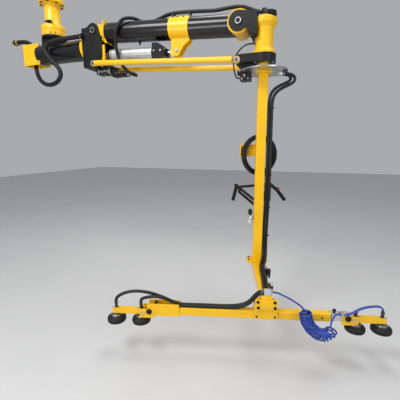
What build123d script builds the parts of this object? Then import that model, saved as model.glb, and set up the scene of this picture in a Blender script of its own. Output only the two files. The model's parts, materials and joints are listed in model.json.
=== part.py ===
from build123d import *
import os
from math import atan2, cos, pi, radians, sin, sqrt, tan

os.makedirs("parts", exist_ok=True)

# Layout of the arm, in millimetres, from the centre of the mounting flange's top face
arm_length = 1400.0
arm_drop_angle = 3.65
link_spacing = 300.0
base_reach = 560.0
head_reach = 200.0
upper_pivot_drop = 368.0
tool_turn = 14.8

# Sections
base_tube_d = 194.0
main_tube_d = 178.0
tube_wall = 8.0
rod_d = 48.0
rod_wall = 5.0
mast_side = 80.0
mast_wall = 5.0
beam_side = 60.0
beam_wall = 4.0
sheet_t = 6.0

# Clearances
fit_gap = 0.3
face_gap = 0.5
link_clear = 5.0

# Pivots
cheek_inner = 95.0
cheek_thick = 12.0
cheek_outer = cheek_inner + cheek_thick
upper_pin_d = 50.0
lower_pin_d = 30.0
pin_head_t = 6.0
pin_head_rim = 8.0
pin_wall = 7.0

# Pivot centres in the arm's plane, as x and z
drop = radians(arm_drop_angle)
p1 = (base_reach, -upper_pivot_drop)
p2 = (base_reach + arm_length * cos(drop), -upper_pivot_drop - arm_length * sin(drop))
p3 = (p1[0], p1[1] - link_spacing)
p4 = (p2[0], p2[1] - link_spacing)
swivel_x = p2[0] + head_reach

# Frames of the lift arm, the lower rods and the turning tool
ROW = Plane.XY
ARM = Plane(origin=(p1[0], 0, p1[1]), x_dir=(cos(drop), 0, -sin(drop)), z_dir=(sin(drop), 0, cos(drop)))
LINK = Plane(origin=(p3[0], 0, p3[1]), x_dir=(cos(drop), 0, -sin(drop)), z_dir=(sin(drop), 0, cos(drop)))
turn = radians(tool_turn)
TOOL = Plane(origin=(swivel_x, 0, 0), x_dir=(cos(turn), sin(turn), 0), z_dir=(0, 0, 1))


def side_plane(base, x=0.0, y=0.0, z=0.0):
    """Plane facing -Y of the base frame, drawn with X to the right and Z up."""
    return Plane(origin=base.from_local_coords((x, y, z)), x_dir=base.x_dir, z_dir=-base.y_dir)


def end_plane(base, x=0.0, y=0.0, z=0.0):
    """Plane facing +X of the base frame, drawn with Y to the right and Z up."""
    return Plane(origin=base.from_local_coords((x, y, z)), x_dir=base.y_dir, z_dir=base.x_dir)


def top_plane(base, x=0.0, y=0.0, z=0.0):
    """Plane facing +Z of the base frame."""
    return Plane(origin=base.from_local_coords((x, y, z)), x_dir=base.x_dir, z_dir=base.z_dir)


def block(frame, x_span, y_span, z_span, mode=Mode.ADD):
    """A box between two x, two y and two z of the frame, added to or cut from the open part."""
    spans = (x_span, y_span, z_span)
    centre = Location(tuple((low + high) / 2 for low, high in spans))
    with Locations(frame.location * centre):
        Box(*(high - low for low, high in spans), mode=mode)


def bar(frame, start, end, diameter):
    """A round bar between two points of the frame."""
    ends = [frame.from_local_coords(point) for point in (start, end)]
    with BuildPart() as piece:
        with BuildSketch(Plane(origin=ends[0], z_dir=ends[1] - ends[0])):
            Circle(diameter / 2)
        extrude(amount=(ends[1] - ends[0]).length)
    return piece


def save(builder, label):
    """Label a finished piece and write it."""
    builder.part.label = label
    export_step(builder.part, "parts/" + label + ".step")


def group(*builders):
    """Several like pieces of one body as one part."""
    with BuildPart() as together:
        for builder in builders:
            add(builder.part)
    return together


def arc_radii(points):
    """The largest arc at each corner that its two runs allow."""
    radii = []
    for before, corner, after in zip(points, points[1:], points[2:]):
        run_in = corner - before
        run_out = after - corner
        half_turn = radians(run_in.get_angle(run_out)) / 2
        radii.append(0.45 * min(run_in.length, run_out.length) / tan(half_turn))
    return radii


def hose(label, frame, route, diameter):
    """A round hose along straight runs joined by tangent arcs; the route is in the frame's coordinates."""
    points = [frame.from_local_coords(place) for place in route]
    radii = arc_radii(points)
    with BuildPart() as piece:
        with BuildLine() as line:
            FilletPolyline(*points, radius=radii)
        with BuildSketch(Plane(origin=line.line @ 0, z_dir=line.line % 0)):
            Circle(diameter / 2)
        sweep()
    section = pi * diameter ** 2 / 4
    run = line.wires()[0].length
    share = piece.part.volume / (section * run)
    tightest = min(radii) / diameter
    print(f"{label}: {run:.0f} long, tightest arc {tightest:.1f} diameters, volume share {share:.4f}")
    return piece


# Fixed swivel housing that hangs from the ceiling frame
spool_flange_r = 127.5
spool_flange_t = 25.0
spool_neck_r = 73.0
spool_neck_fillet = 12.0
spool_foot_r = 133.0
spool_foot_step = 5.0
spool_foot_slope = 16.0
spool_height = 343.0
spool_foot_h = 134.0
spool_groove_h = 6.0
spool_bore_r = 40.0
spool_roof_t = 30.0
flange_bolt_circle = 210.0
flange_bolt_d = 14.0
flange_bolts = 8

foot_top = -spool_height + spool_foot_h
groove_top = -spool_height + spool_foot_h / 2
shoulder_r = spool_foot_r - spool_foot_step
with BuildPart() as base_spool:
    with BuildSketch(Plane.XZ):
        with BuildLine():
            Polyline(
                (0, 0), (spool_flange_r, 0), (spool_flange_r, -spool_flange_t),
                (spool_neck_r + spool_neck_fillet, -spool_flange_t),
                (spool_neck_r, -spool_flange_t - spool_neck_fillet), (spool_neck_r, foot_top),
                (shoulder_r, foot_top - spool_foot_slope), (shoulder_r, groove_top),
                (shoulder_r - spool_foot_step, groove_top),
                (shoulder_r - spool_foot_step, groove_top - spool_groove_h),
                (spool_foot_r, groove_top - spool_groove_h), (spool_foot_r, -spool_height),
                (spool_bore_r, -spool_height), (spool_bore_r, -spool_roof_t), (0, -spool_roof_t), (0, 0),
            )
        make_face()
    revolve(axis=Axis.Z)
    with PolarLocations(flange_bolt_circle / 2, flange_bolts, start_angle=180 / flange_bolts):
        Hole(flange_bolt_d / 2, depth=spool_flange_t)
save(base_spool, "base_spool")

# Base arm with its saddle under the swivel housing
base_tube_drop = 500.0
base_tube_start = -184.0
base_tube_end = base_reach - 162.0
end_flange_t = 25.0
end_flange_r = 108.0
saddle_plate_r = 118.0
saddle_plate_t = 18.0
saddle_len = 190.0
saddle_w = 150.0
journal_len = 300.0
base_tube_r = base_tube_d / 2
saddle_top = -spool_height - face_gap

with BuildPart() as base_tube:
    with BuildSketch(end_plane(ROW, base_tube_start, 0, -base_tube_drop)):
        Circle(base_tube_r)
    extrude(amount=base_tube_end - base_tube_start)
    with BuildSketch(end_plane(ROW, base_tube_start + tube_wall, 0, -base_tube_drop)):
        Circle(base_tube_r - tube_wall)
    extrude(amount=base_tube_end - base_tube_start, mode=Mode.SUBTRACT)
save(base_tube, "base_tube")

with BuildPart() as base_saddle:
    with BuildSketch(Plane.XY.offset(saddle_top)):
        Circle(saddle_plate_r)
    extrude(amount=-saddle_plate_t)
    with BuildSketch(Plane.XY.offset(saddle_top - saddle_plate_t)):
        Rectangle(saddle_len, saddle_w)
    extrude(amount=-(base_tube_drop + saddle_top - saddle_plate_t - base_tube_r / 2))
    with BuildSketch(end_plane(ROW, -saddle_plate_r, 0, -base_tube_drop)):
        Circle(base_tube_r)
    extrude(amount=2 * saddle_plate_r, mode=Mode.SUBTRACT)
    with BuildSketch(Plane.XY.offset(saddle_top)):
        Circle(spool_bore_r - fit_gap)
    extrude(amount=journal_len)
save(base_saddle, "base_saddle")

with BuildPart() as base_end_flange:
    with BuildSketch(end_plane(ROW, base_tube_end, 0, -base_tube_drop)):
        Circle(end_flange_r)
    extrude(amount=end_flange_t)
save(base_end_flange, "base_end_flange")

# Chute at the tube's left end that leads the supply hose down
guide_len = 210.0
guide_overlap = 34.0
guide_w = 144.0
guide_h = 206.0
guide_drop = 501.0
guide_wall = 8.0
guide_right = base_tube_start + guide_overlap
guide_left = guide_right - guide_len
with BuildPart() as hose_guide:
    with BuildSketch(Plane.XY.offset(-guide_drop - guide_h / 2)):
        with Locations(((guide_left + guide_right) / 2, 0)):
            Rectangle(guide_len, guide_w)
        with Locations(((guide_left + base_tube_start) / 2, 0)):
            Rectangle(
                base_tube_start - guide_left - 2 * guide_wall, guide_w - 2 * guide_wall, mode=Mode.SUBTRACT
            )
        with Locations(((base_tube_start + guide_right) / 2, 0)):
            Rectangle(guide_overlap, guide_w - 2 * guide_wall, mode=Mode.SUBTRACT)
    extrude(amount=guide_h)
    with BuildSketch(end_plane(ROW, base_tube_start, 0, -base_tube_drop)):
        Circle(base_tube_r + fit_gap)
    extrude(amount=guide_len, mode=Mode.SUBTRACT)
save(hose_guide, "hose_guide")

# Clevis at the tube's right end
block_len = 71.0
block_rise = 38.0
block_fall = 22.0
block_corner = 12.0
block_start = base_tube_end + end_flange_t
block_end = block_start + block_len
block_top = p1[1] + block_rise
block_bottom = p3[1] - block_fall
with BuildPart() as clevis_block:
    with BuildSketch(end_plane(ROW, block_start, 0, (block_top + block_bottom) / 2)):
        RectangleRounded(2 * cheek_inner, block_top - block_bottom, block_corner)
    extrude(amount=block_len)
save(clevis_block, "clevis_block")

cheek_top_r = 63.0
cheek_foot_r = 40.0
cheek_lap = 30.0
cheek_belly = 90.0
cheek_start = block_end - cheek_lap


def cheek(outer_y):
    """One black cheek plate of the base clevis; outer_y is its face on the +Y side."""
    with BuildPart() as plate:
        with BuildSketch(side_plane(ROW, 0, outer_y, 0)):
            with Locations(p1):
                Circle(cheek_top_r)
            with Locations(p3):
                Circle(cheek_foot_r)
            with BuildLine():
                Polyline(
                    (cheek_start, p1[1] + cheek_foot_r / 2), (p1[0], p1[1] + cheek_top_r),
                    (p1[0] + cheek_top_r, p1[1]),
                    (p1[0] + cheek_belly, p1[1] - cheek_belly), (p1[0] + cheek_belly, p3[1] + cheek_top_r),
                    (p3[0] + cheek_foot_r, p3[1]), (p3[0], p3[1] - cheek_foot_r),
                    (cheek_start, block_bottom), (cheek_start, p1[1] + cheek_foot_r / 2),
                )
            make_face()
            with Locations(p1):
                Circle(upper_pin_d / 2, mode=Mode.SUBTRACT)
            with Locations(p3):
                Circle(lower_pin_d / 2, mode=Mode.SUBTRACT)
        extrude(amount=cheek_thick)
    return plate


clevis_cheek_near = cheek(-cheek_inner)
save(clevis_cheek_near, "clevis_cheek_near")
clevis_cheek_far = cheek(cheek_outer)
save(clevis_cheek_far, "clevis_cheek_far")


def pin(centre, half_length, diameter):
    """A hollow pivot pin along Y with a retaining ring at both ends."""
    x, z = centre
    with BuildPart() as piece:
        with BuildSketch(side_plane(ROW, x, half_length, z)):
            Circle(diameter / 2)
        extrude(amount=2 * half_length)
        for ring_y in (half_length + pin_head_t, -half_length):
            with BuildSketch(side_plane(ROW, x, ring_y, z)):
                Circle(diameter / 2 + pin_head_rim)
            extrude(amount=pin_head_t)
        with BuildSketch(side_plane(ROW, x, half_length + pin_head_t, z)):
            Circle(diameter / 2 - pin_wall)
        extrude(amount=2 * (half_length + pin_head_t), mode=Mode.SUBTRACT)
    return piece


rod_eye_t = 24.0
rod_eye_outer = cheek_outer + face_gap + rod_eye_t
base_pins = group(pin(p1, cheek_outer, upper_pin_d), pin(p3, rod_eye_outer + face_gap, lower_pin_d))
save(base_pins, "base_pins")

# Balancing cylinder: its frame runs from the rear pin to the ear under the lift arm
cyl_rear = (p1[0] + 52.0, p1[1] - 205.0)
ear_x = 846.0
ear_drop = 188.0
cyl_pin_d = 24.0
cyl_eye_r = 24.0
ear_pin = ARM.from_local_coords((ear_x, 0, -ear_drop))
cyl_dx = ear_pin.X - cyl_rear[0]
cyl_dz = ear_pin.Z - cyl_rear[1]
cyl_angle = atan2(cyl_dz, cyl_dx)
cyl_length = sqrt(cyl_dx ** 2 + cyl_dz ** 2)
CYL = Plane(
    origin=(cyl_rear[0], 0, cyl_rear[1]),
    x_dir=(cos(cyl_angle), 0, sin(cyl_angle)),
    z_dir=(-sin(cyl_angle), 0, cos(cyl_angle)),
)

# Yellow yoke between the cheeks that holds the cylinder's rear pin
anchor_ear_t = 14.0
anchor_inner = 22.0
anchor_setback = 34.0
anchor_h = 70.0
yoke_t = 15.0
yoke_bar_w = 26.0
yoke_bar_h = 142.0
yoke_right = cyl_rear[0] + 61.0
anchor_outer = anchor_inner + anchor_ear_t
with BuildPart() as cylinder_anchor:
    with BuildSketch(side_plane(ROW, 0, cheek_inner, cyl_rear[1])):
        with Locations(((block_end + cyl_rear[0] - anchor_setback) / 2, 0)):
            Rectangle(cyl_rear[0] - anchor_setback - block_end, anchor_h)
    extrude(amount=2 * cheek_inner)
    for outer_y in (cheek_inner, -cheek_inner + yoke_t):
        with BuildSketch(side_plane(ROW, 0, outer_y, cyl_rear[1])):
            with Locations(((block_end + yoke_right) / 2, 0)):
                Rectangle(yoke_right - block_end, anchor_h)
            with Locations((yoke_right - yoke_bar_w / 2, 0)):
                Rectangle(yoke_bar_w, yoke_bar_h)
        extrude(amount=yoke_t)
    for outer_y in (anchor_outer, -anchor_inner):
        with BuildSketch(side_plane(ROW, cyl_rear[0], outer_y, cyl_rear[1])):
            Circle(cyl_eye_r)
            with Locations((-anchor_setback / 2, 0)):
                Rectangle(anchor_setback, 2 * cyl_eye_r)
        extrude(amount=anchor_ear_t)
    with BuildSketch(side_plane(ROW, cyl_rear[0], anchor_outer, cyl_rear[1])):
        Circle(cyl_pin_d / 2)
    extrude(amount=2 * anchor_outer)
save(cylinder_anchor, "cylinder_anchor")

barrel_d = 110.0
barrel_wall = 6.0
barrel_start = 71.0
barrel_end = 548.0
barrel_base_t = 32.0
head_len = 119.0
head_side = 140.0
head_chamfer_x = 62.0
head_chamfer_z = 36.0
gland_r = 31.0
piston_r = 33.0
piston_t = 30.0
piston_back = 150.0
piston_rod_d = 32.0
barrel_eye_half = anchor_inner - 1.0
with BuildPart() as cylinder_barrel:
    with BuildSketch(side_plane(CYL, 0, barrel_eye_half, 0)):
        Circle(cyl_eye_r - 2)
        with Locations((barrel_start / 2, 0)):
            Rectangle(barrel_start, 2 * cyl_eye_r - 8)
        Circle(cyl_pin_d / 2 + fit_gap, mode=Mode.SUBTRACT)
    extrude(amount=2 * barrel_eye_half)
    with BuildSketch(end_plane(CYL, barrel_start, 0, 0)):
        Circle(barrel_d / 2)
    extrude(amount=barrel_end - barrel_start)
    with BuildSketch(end_plane(CYL, barrel_start + barrel_base_t, 0, 0)):
        Circle(barrel_d / 2 - barrel_wall)
    extrude(amount=barrel_end, mode=Mode.SUBTRACT)
save(cylinder_barrel, "cylinder_barrel")

with BuildPart() as cylinder_head:
    with BuildSketch(side_plane(CYL, barrel_end, head_side / 2, 0)):
        with BuildLine():
            Polyline(
                (0, -head_side / 2), (head_len, -head_side / 2), (head_len, head_side / 2 - head_chamfer_z),
                (head_len - head_chamfer_x, head_side / 2), (0, head_side / 2), (0, -head_side / 2),
            )
        make_face()
    extrude(amount=head_side)
    with BuildSketch(end_plane(CYL, barrel_end, 0, 0)):
        Circle(gland_r)
    extrude(amount=head_len, mode=Mode.SUBTRACT)
save(cylinder_head, "cylinder_head")

ear_half = 30.0
ear_t = 12.0
with BuildPart() as piston_rod:
    with BuildSketch(end_plane(CYL, barrel_end - piston_back, 0, 0)):
        Circle(piston_r)
    extrude(amount=piston_t)
    with BuildSketch(end_plane(CYL, barrel_end - piston_back, 0, 0)):
        Circle(piston_rod_d / 2)
    extrude(amount=cyl_length - barrel_end + piston_back - cyl_eye_r + fit_gap)
    with BuildSketch(side_plane(CYL, cyl_length, ear_half - 1, 0)):
        Circle(cyl_eye_r)
        with Locations((-cyl_eye_r, 0)):
            Rectangle(cyl_eye_r, piston_rod_d)
        Circle(cyl_pin_d / 2 + fit_gap, mode=Mode.SUBTRACT)
    extrude(amount=2 * (ear_half - 1))
save(piston_rod, "piston_rod")

# Valve manifold under the clevis
manifold_half = 60.0
manifold_plate_t = 10.0
manifold_start = p3[0] - 100.0
manifold_end = p3[0] + 175.0
port_block_h = 54.0
port_half = 50.0
port_r = 13.0
port_len = 18.0
port_pitch = 46.0
ports = 5
valve_start = p3[0] + 140.0
valve_end = p3[0] + 320.0
valve_half = 40.0
valve_h = 50.0
valve_drop = 30.0
manifold_top = block_bottom - manifold_plate_t
valve_top = manifold_top - valve_drop
valve_bottom = valve_top - valve_h
valve_mid = (valve_top + valve_bottom) / 2

with BuildPart() as valve_manifold:
    block(
        ROW, (manifold_start, manifold_end), (-manifold_half, manifold_half), (manifold_top, block_bottom)
    )
    block(
        ROW, (manifold_start, valve_start), (-port_half, port_half),
        (manifold_top - port_block_h, manifold_top),
    )
    block(ROW, (valve_start, manifold_end), (-valve_half, valve_half), (valve_bottom, manifold_top))
    block(ROW, (manifold_end, valve_end), (-valve_half, valve_half), (valve_bottom, valve_top))
    ports_mid = (manifold_start + valve_start) / 2
    with BuildSketch(side_plane(ROW, ports_mid, -port_half, manifold_top - port_block_h / 2)):
        with GridLocations(port_pitch, 1, ports, 1):
            Circle(port_r)
    extrude(amount=port_len)
save(valve_manifold, "valve_manifold")

# Lift arm
arm_plate_x = 96.0
arm_plate_t = 12.0
arm_plate_h = 184.0
arm_plate_corner = 20.0
arm_lug_r = 58.0
arm_lug_neck = 98.0
eye_r = 92.0
gusset_inner = 62.0
gusset_t = 12.0
arm_half = cheek_inner - face_gap
main_start = arm_plate_x + arm_plate_t
main_r = main_tube_d / 2
with BuildPart() as arm_end_left:
    with BuildSketch(side_plane(ARM, 0, arm_half, 0)):
        Circle(arm_lug_r)
        with Locations((arm_plate_x / 2, 0)):
            Rectangle(arm_plate_x, arm_lug_neck)
        Circle(upper_pin_d / 2 + fit_gap, mode=Mode.SUBTRACT)
    extrude(amount=2 * arm_half)
    with BuildSketch(end_plane(ARM, arm_plate_x, 0, 0)):
        RectangleRounded(main_tube_d, arm_plate_h, arm_plate_corner)
    extrude(amount=arm_plate_t)
    for outer_y in (gusset_inner + gusset_t, -gusset_inner):
        with BuildSketch(side_plane(ARM, arm_plate_x, outer_y, 0)):
            with BuildLine():
                Polyline((0, -44), (-33, -80), (46, -111), (arm_plate_t, -60), (0, -44))
            make_face()
        extrude(amount=gusset_t)
    with BuildSketch(end_plane(ARM, main_start, 0, 0)):
        Circle(main_r + fit_gap)
    extrude(amount=arm_plate_x, mode=Mode.SUBTRACT)
save(arm_end_left, "arm_end_left")

with BuildPart() as main_tube:
    with BuildSketch(end_plane(ARM, main_start, 0, 0)):
        Circle(main_r)
        Circle(main_r - tube_wall, mode=Mode.SUBTRACT)
    extrude(amount=arm_length - main_start)
    with BuildSketch(side_plane(ARM, arm_length, 2 * main_r, 0)):
        Circle(eye_r)
    extrude(amount=4 * main_r, mode=Mode.SUBTRACT)
save(main_tube, "main_tube")

with BuildPart() as arm_end_right:
    with BuildSketch(side_plane(ARM, arm_length, arm_half, 0)):
        Circle(eye_r)
        Circle(upper_pin_d / 2 + fit_gap, mode=Mode.SUBTRACT)
    extrude(amount=2 * arm_half)
save(arm_end_right, "arm_end_right")

# Yellow collar with the ears for the cylinder's front pin
collar_start = 774.0
collar_len = 185.0
collar_t = 8.0
ear_back = 54.0
ear_tip = 44.0
ear_tip_r = 16.0
collar_r = main_r + collar_t
collar_end = collar_start + collar_len
with BuildPart() as cylinder_collar:
    with BuildSketch(end_plane(ARM, collar_start, 0, 0)):
        Circle(collar_r)
    extrude(amount=collar_len)
    for outer_y in (-ear_half, ear_half + ear_t):
        with BuildSketch(side_plane(ARM, 0, outer_y, 0)) as ear:
            with BuildLine():
                Polyline(
                    (ear_x - ear_back, -main_r / 2), (ear_x - ear_back, -ear_drop - ear_tip),
                    (ear_x + ear_tip_r, -ear_drop - ear_tip), (ear_x + ear_back + 12, -ear_drop + 38),
                    (collar_end, -collar_r - ear_t), (collar_end, -main_r / 2),
                    (ear_x - ear_back, -main_r / 2),
                )
            make_face()
            fillet(ear.vertices().group_by(Axis.Y)[0], radius=ear_tip_r)
        extrude(amount=ear_t)
    with BuildSketch(end_plane(ARM, collar_start, 0, 0)):
        Circle(main_r)
    extrude(amount=collar_len, mode=Mode.SUBTRACT)
    with BuildSketch(side_plane(ARM, ear_x, ear_half + ear_t, -ear_drop)):
        Circle(cyl_pin_d / 2)
    extrude(amount=2 * (ear_half + ear_t))
save(cylinder_collar, "cylinder_collar")

# Lower links
rod_end = 34.0
rod_eye_r = 27.0
rod_eye_neck = 40.0


def lower_rod(side):
    """One lower rod with its two flat eyes; side is -1 for the near one."""
    y = side * (cheek_outer + link_clear + rod_d / 2)
    eye_y = side * (cheek_outer + face_gap + rod_eye_t / 2)
    with BuildPart() as rod:
        with BuildSketch(end_plane(LINK, rod_end, y, 0)):
            Circle(rod_d / 2)
            Circle(rod_d / 2 - rod_wall, mode=Mode.SUBTRACT)
        extrude(amount=arm_length - 2 * rod_end)
        for end_x, inward in ((0, 1), (arm_length, -1)):
            with BuildSketch(side_plane(LINK, end_x, eye_y + rod_eye_t / 2, 0)):
                Circle(rod_eye_r)
                with Locations((inward * rod_eye_r, 0)):
                    Rectangle(2 * rod_eye_r, rod_eye_neck)
                Circle(lower_pin_d / 2 + fit_gap, mode=Mode.SUBTRACT)
            extrude(amount=rod_eye_t)
    return rod


lower_rod_near = lower_rod(-1)
save(lower_rod_near, "lower_rod_near")
lower_rod_far = lower_rod(1)
save(lower_rod_far, "lower_rod_far")

# Head at the arm's right end
head_spool_r = 99.5
head_neck_r = 75.0
head_foot_r = 97.0
head_spool_top_r = 64.0
head_spool_h = 287.0
spool_rise = 37.0
journal_r = 32.0
spool_top = p2[1] + spool_rise
spool_bottom = spool_top - head_spool_h


def spool_body():
    """The head's swivel housing, a solid of revolution about the swivel axis."""
    outline = [
        (head_spool_top_r, 0), (head_spool_r, 22), (head_spool_r, 58), (head_neck_r, 92),
        (head_neck_r, 242), (head_foot_r, 270), (head_foot_r, head_spool_h),
    ]
    points = [(swivel_x + r, spool_top - depth) for r, depth in outline]
    with BuildPart() as piece:
        with BuildSketch(Plane.XZ):
            with BuildLine():
                FilletPolyline(*points, radius=[12, 14, 22, 22, 5])
                Polyline(points[-1], (swivel_x, spool_bottom), (swivel_x, spool_top), points[0])
            make_face()
        revolve(axis=Axis((swivel_x, 0, 0), (0, 0, 1)))
    return piece


with BuildPart() as head_spool:
    add(spool_body().part)
    with BuildSketch(Plane.XY.offset(spool_top)):
        with Locations((swivel_x, 0)):
            Circle(journal_r + fit_gap)
    extrude(amount=-head_spool_h, mode=Mode.SUBTRACT)
save(head_spool, "head_spool")

cap_r = 66.0
cap_h = 34.0
cap_x = swivel_x + 25.0
gland_half = 20.0
gland_h = 30.0
gland_len = 34.0
cap_top = spool_top + cap_h
gland_x = cap_x - 50.0
with BuildPart() as head_cap:
    with BuildSketch(Plane.XY.offset(spool_top)):
        with Locations((cap_x, 0)):
            Circle(cap_r)
    extrude(amount=cap_h)
    fillet(head_cap.edges().group_by(Axis.Z)[-1], radius=6)
    block(ROW, (gland_x, gland_x + gland_len), (-gland_half, gland_half), (cap_top - 6, cap_top + gland_h))
save(head_cap, "head_cap")

bracket_start = p2[0] + eye_r + 6.0
bracket_end = swivel_x - 48.0
bracket_top = spool_top + 16.0
bracket_h = 236.0
bracket_bottom = bracket_top - bracket_h
with BuildPart() as head_bracket:
    block(ROW, (bracket_start, bracket_end), (-cheek_inner, cheek_inner), (bracket_bottom, bracket_top))
    add(spool_body().part, mode=Mode.SUBTRACT)
    with BuildSketch(Plane.XY.offset(spool_top)):
        with Locations((cap_x, 0)):
            Circle(cap_r)
    extrude(amount=cap_h, mode=Mode.SUBTRACT)
save(head_bracket, "head_bracket")

head_cheek_r = 78.0
head_cheek_waist = 55.0


def head_cheek(outer_y):
    """One black cheek plate of the head; outer_y is its face on the +Y side."""
    with BuildPart() as plate:
        with BuildSketch(side_plane(ROW, 0, outer_y, 0)):
            with Locations(p2):
                Circle(head_cheek_r)
            with BuildLine():
                Polyline(
                    (p2[0], p2[1] + head_cheek_r), (bracket_end, bracket_top),
                    (bracket_end, bracket_bottom), (bracket_start, bracket_bottom),
                    (p2[0] + head_cheek_waist, p2[1] - head_cheek_waist),
                    (p2[0], p2[1] + head_cheek_r),
                )
            make_face()
            with Locations(p2):
                Circle(upper_pin_d / 2, mode=Mode.SUBTRACT)
        extrude(amount=cheek_thick)
    return plate


head_cheek_near = head_cheek(-cheek_inner)
save(head_cheek_near, "head_cheek_near")
head_cheek_far = head_cheek(cheek_outer)
save(head_cheek_far, "head_cheek_far")
head_pins = group(pin(p2, cheek_outer, upper_pin_d), pin(p4, rod_eye_outer + face_gap, lower_pin_d))
save(head_pins, "head_pins")

plate_t = 67.0
link_boss_r = 28.0
shaft_collar_r = 46.0
plate_top = spool_bottom
plate_bottom = plate_top - plate_t
with BuildPart() as head_plate:
    with BuildSketch(Plane.XY.offset(plate_top)):
        with Locations((swivel_x, 0)):
            Circle(head_spool_r)
        with Locations(((p4[0] + swivel_x) / 2, 0)):
            Rectangle(swivel_x - p4[0], 2 * head_foot_r)
        with Locations((swivel_x, 0)):
            Circle(shaft_collar_r + fit_gap, mode=Mode.SUBTRACT)
    extrude(amount=-plate_t)
    with BuildSketch(side_plane(ROW, p4[0], cheek_outer, p4[1])):
        Circle(link_boss_r)
    extrude(amount=2 * cheek_outer)
    with BuildSketch(side_plane(ROW, p4[0], cheek_outer, p4[1])):
        Circle(lower_pin_d / 2)
    extrude(amount=2 * cheek_outer, mode=Mode.SUBTRACT)
save(head_plate, "head_plate")

# Swivel brake
disc_r = 200.0
disc_t = 8.0
disc_gap = 58.0
disc_clear = 5.0
disc_top = plate_bottom - disc_gap
flange_top = disc_top - disc_t
flange_side = 136.0
flange_t = 14.0
flange_corner = 12.0
caliper_half = 45.0
caliper_neck = 13.0
caliper_jaw = 57.0
caliper_lip = 8.0
rim_x = swivel_x - disc_r - disc_clear
with BuildPart() as brake_caliper:
    block(
        ROW, (rim_x + 38, rim_x + 129), (-caliper_half, caliper_half),
        (disc_top + caliper_neck, plate_bottom),
    )
    block(
        ROW, (rim_x + 18, rim_x + 104), (-caliper_half, caliper_half),
        (flange_top - disc_clear - caliper_jaw, disc_top + caliper_neck),
    )
    block(
        ROW, (rim_x - 10, rim_x + 38), (-caliper_half / 2, caliper_half / 2),
        (flange_top - disc_clear - caliper_lip, disc_top + caliper_neck),
    )
    with BuildSketch(Plane.XY.offset(disc_top + disc_clear)):
        with Locations((swivel_x, 0)):
            Circle(disc_r + disc_clear)
    extrude(amount=-disc_t - 2 * disc_clear, mode=Mode.SUBTRACT)
save(brake_caliper, "brake_caliper")

caliper_bottom = flange_top - disc_clear - caliper_jaw
brake_line = hose("brake_line", ROW, [
    (bracket_start, -60, bracket_bottom + 12), (bracket_start - 28, -60, bracket_bottom + 12),
    (bracket_start - 66, -59, bracket_bottom - 4), (bracket_start - 104, -57, bracket_bottom - 38),
    (bracket_start - 132, -55, bracket_bottom - 84), (bracket_start - 141, -53, bracket_bottom - 138),
    (bracket_start - 132, -48, bracket_bottom - 190), (rim_x - 18, -40, caliper_bottom + 34),
    (rim_x - 8, -32, caliper_bottom + 20), (rim_x + 18, -32, caliper_bottom + 20),
], 12.0)
save(brake_line, "brake_line")

# Turning tool: shaft, disc and mast
mast_length = 1623.0
mast_corner = 8.0
foot_len = 184.0
foot_w = 100.0
foot_t = 25.0
shaft_step = 1.0
mast_top = flange_top - flange_t
mast_bottom = mast_top - mast_length
forward_top = mast_bottom - foot_t
half = mast_side / 2
with BuildPart() as swivel_shaft:
    with BuildSketch(top_plane(TOOL, 0, 0, disc_top)):
        Circle(shaft_collar_r)
    extrude(amount=disc_gap - face_gap)
    with BuildSketch(top_plane(TOOL, 0, 0, plate_bottom - shaft_step)):
        Circle(journal_r)
    extrude(amount=plate_t + head_spool_h - 2 * shaft_step)
save(swivel_shaft, "swivel_shaft")

with BuildPart() as brake_disc:
    with BuildSketch(top_plane(TOOL, 0, 0, disc_top)):
        Circle(disc_r)
    extrude(amount=-disc_t)
save(brake_disc, "brake_disc")

with BuildPart() as mast_flange:
    with BuildSketch(top_plane(TOOL, 0, 0, flange_top)):
        RectangleRounded(flange_side, flange_side, flange_corner)
    extrude(amount=-flange_t)
save(mast_flange, "mast_flange")


def square_tube(plane, side, wall, corner, length):
    """A square tube with rounded corners, drawn on the plane and run along its normal."""
    with BuildPart() as tube:
        with BuildSketch(plane):
            RectangleRounded(side, side, corner)
            RectangleRounded(side - 2 * wall, side - 2 * wall, corner - wall + 1, mode=Mode.SUBTRACT)
        extrude(amount=length)
    return tube


mast = square_tube(top_plane(TOOL, 0, 0, mast_bottom), mast_side, mast_wall, mast_corner, mast_length)
save(mast, "mast")

with BuildPart() as mast_foot:
    with BuildSketch(top_plane(TOOL, 0, 0, mast_bottom)):
        RectangleRounded(foot_len, foot_w, flange_corner)
    extrude(amount=-foot_t)
save(mast_foot, "mast_foot")

# Arm that carries the beam in front of the mast
forward_back = 50.0
beam_y = -600.0
forward_front = beam_y - 58.0
forward_mid = forward_top - half
forward_tube = square_tube(
    side_plane(TOOL, 0, forward_back, forward_mid), mast_side, mast_wall, mast_corner,
    forward_back - forward_front,
)
save(forward_tube, "forward_tube")

clamp_len = 165.0
clamp_w = 120.0
clamp_t = 14.0
beam_gap = 48.0
saddle_grip = 50.0
beam_saddle_w = 100.0
forward_bottom = forward_top - mast_side
saddle_z = forward_bottom - clamp_t
beam_top = saddle_z - beam_gap
beam_mid = beam_top - beam_side / 2
beam_bottom = beam_top - beam_side
with BuildPart() as clamp_plate:
    with BuildSketch(top_plane(TOOL, 0, beam_y, forward_bottom)):
        RectangleRounded(clamp_len, clamp_w, mast_corner)
    extrude(amount=-clamp_t)
save(clamp_plate, "clamp_plate")

with BuildPart() as beam_saddle:
    block(
        TOOL, (-clamp_len / 2, clamp_len / 2), (beam_y - beam_saddle_w / 2, beam_y + beam_saddle_w / 2),
        (beam_top - saddle_grip, saddle_z),
    )
    block(
        TOOL, (-clamp_len / 2, clamp_len / 2), (beam_y - beam_side / 2, beam_y + beam_side / 2),
        (beam_bottom, beam_top), mode=Mode.SUBTRACT,
    )
save(beam_saddle, "beam_saddle")

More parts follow.
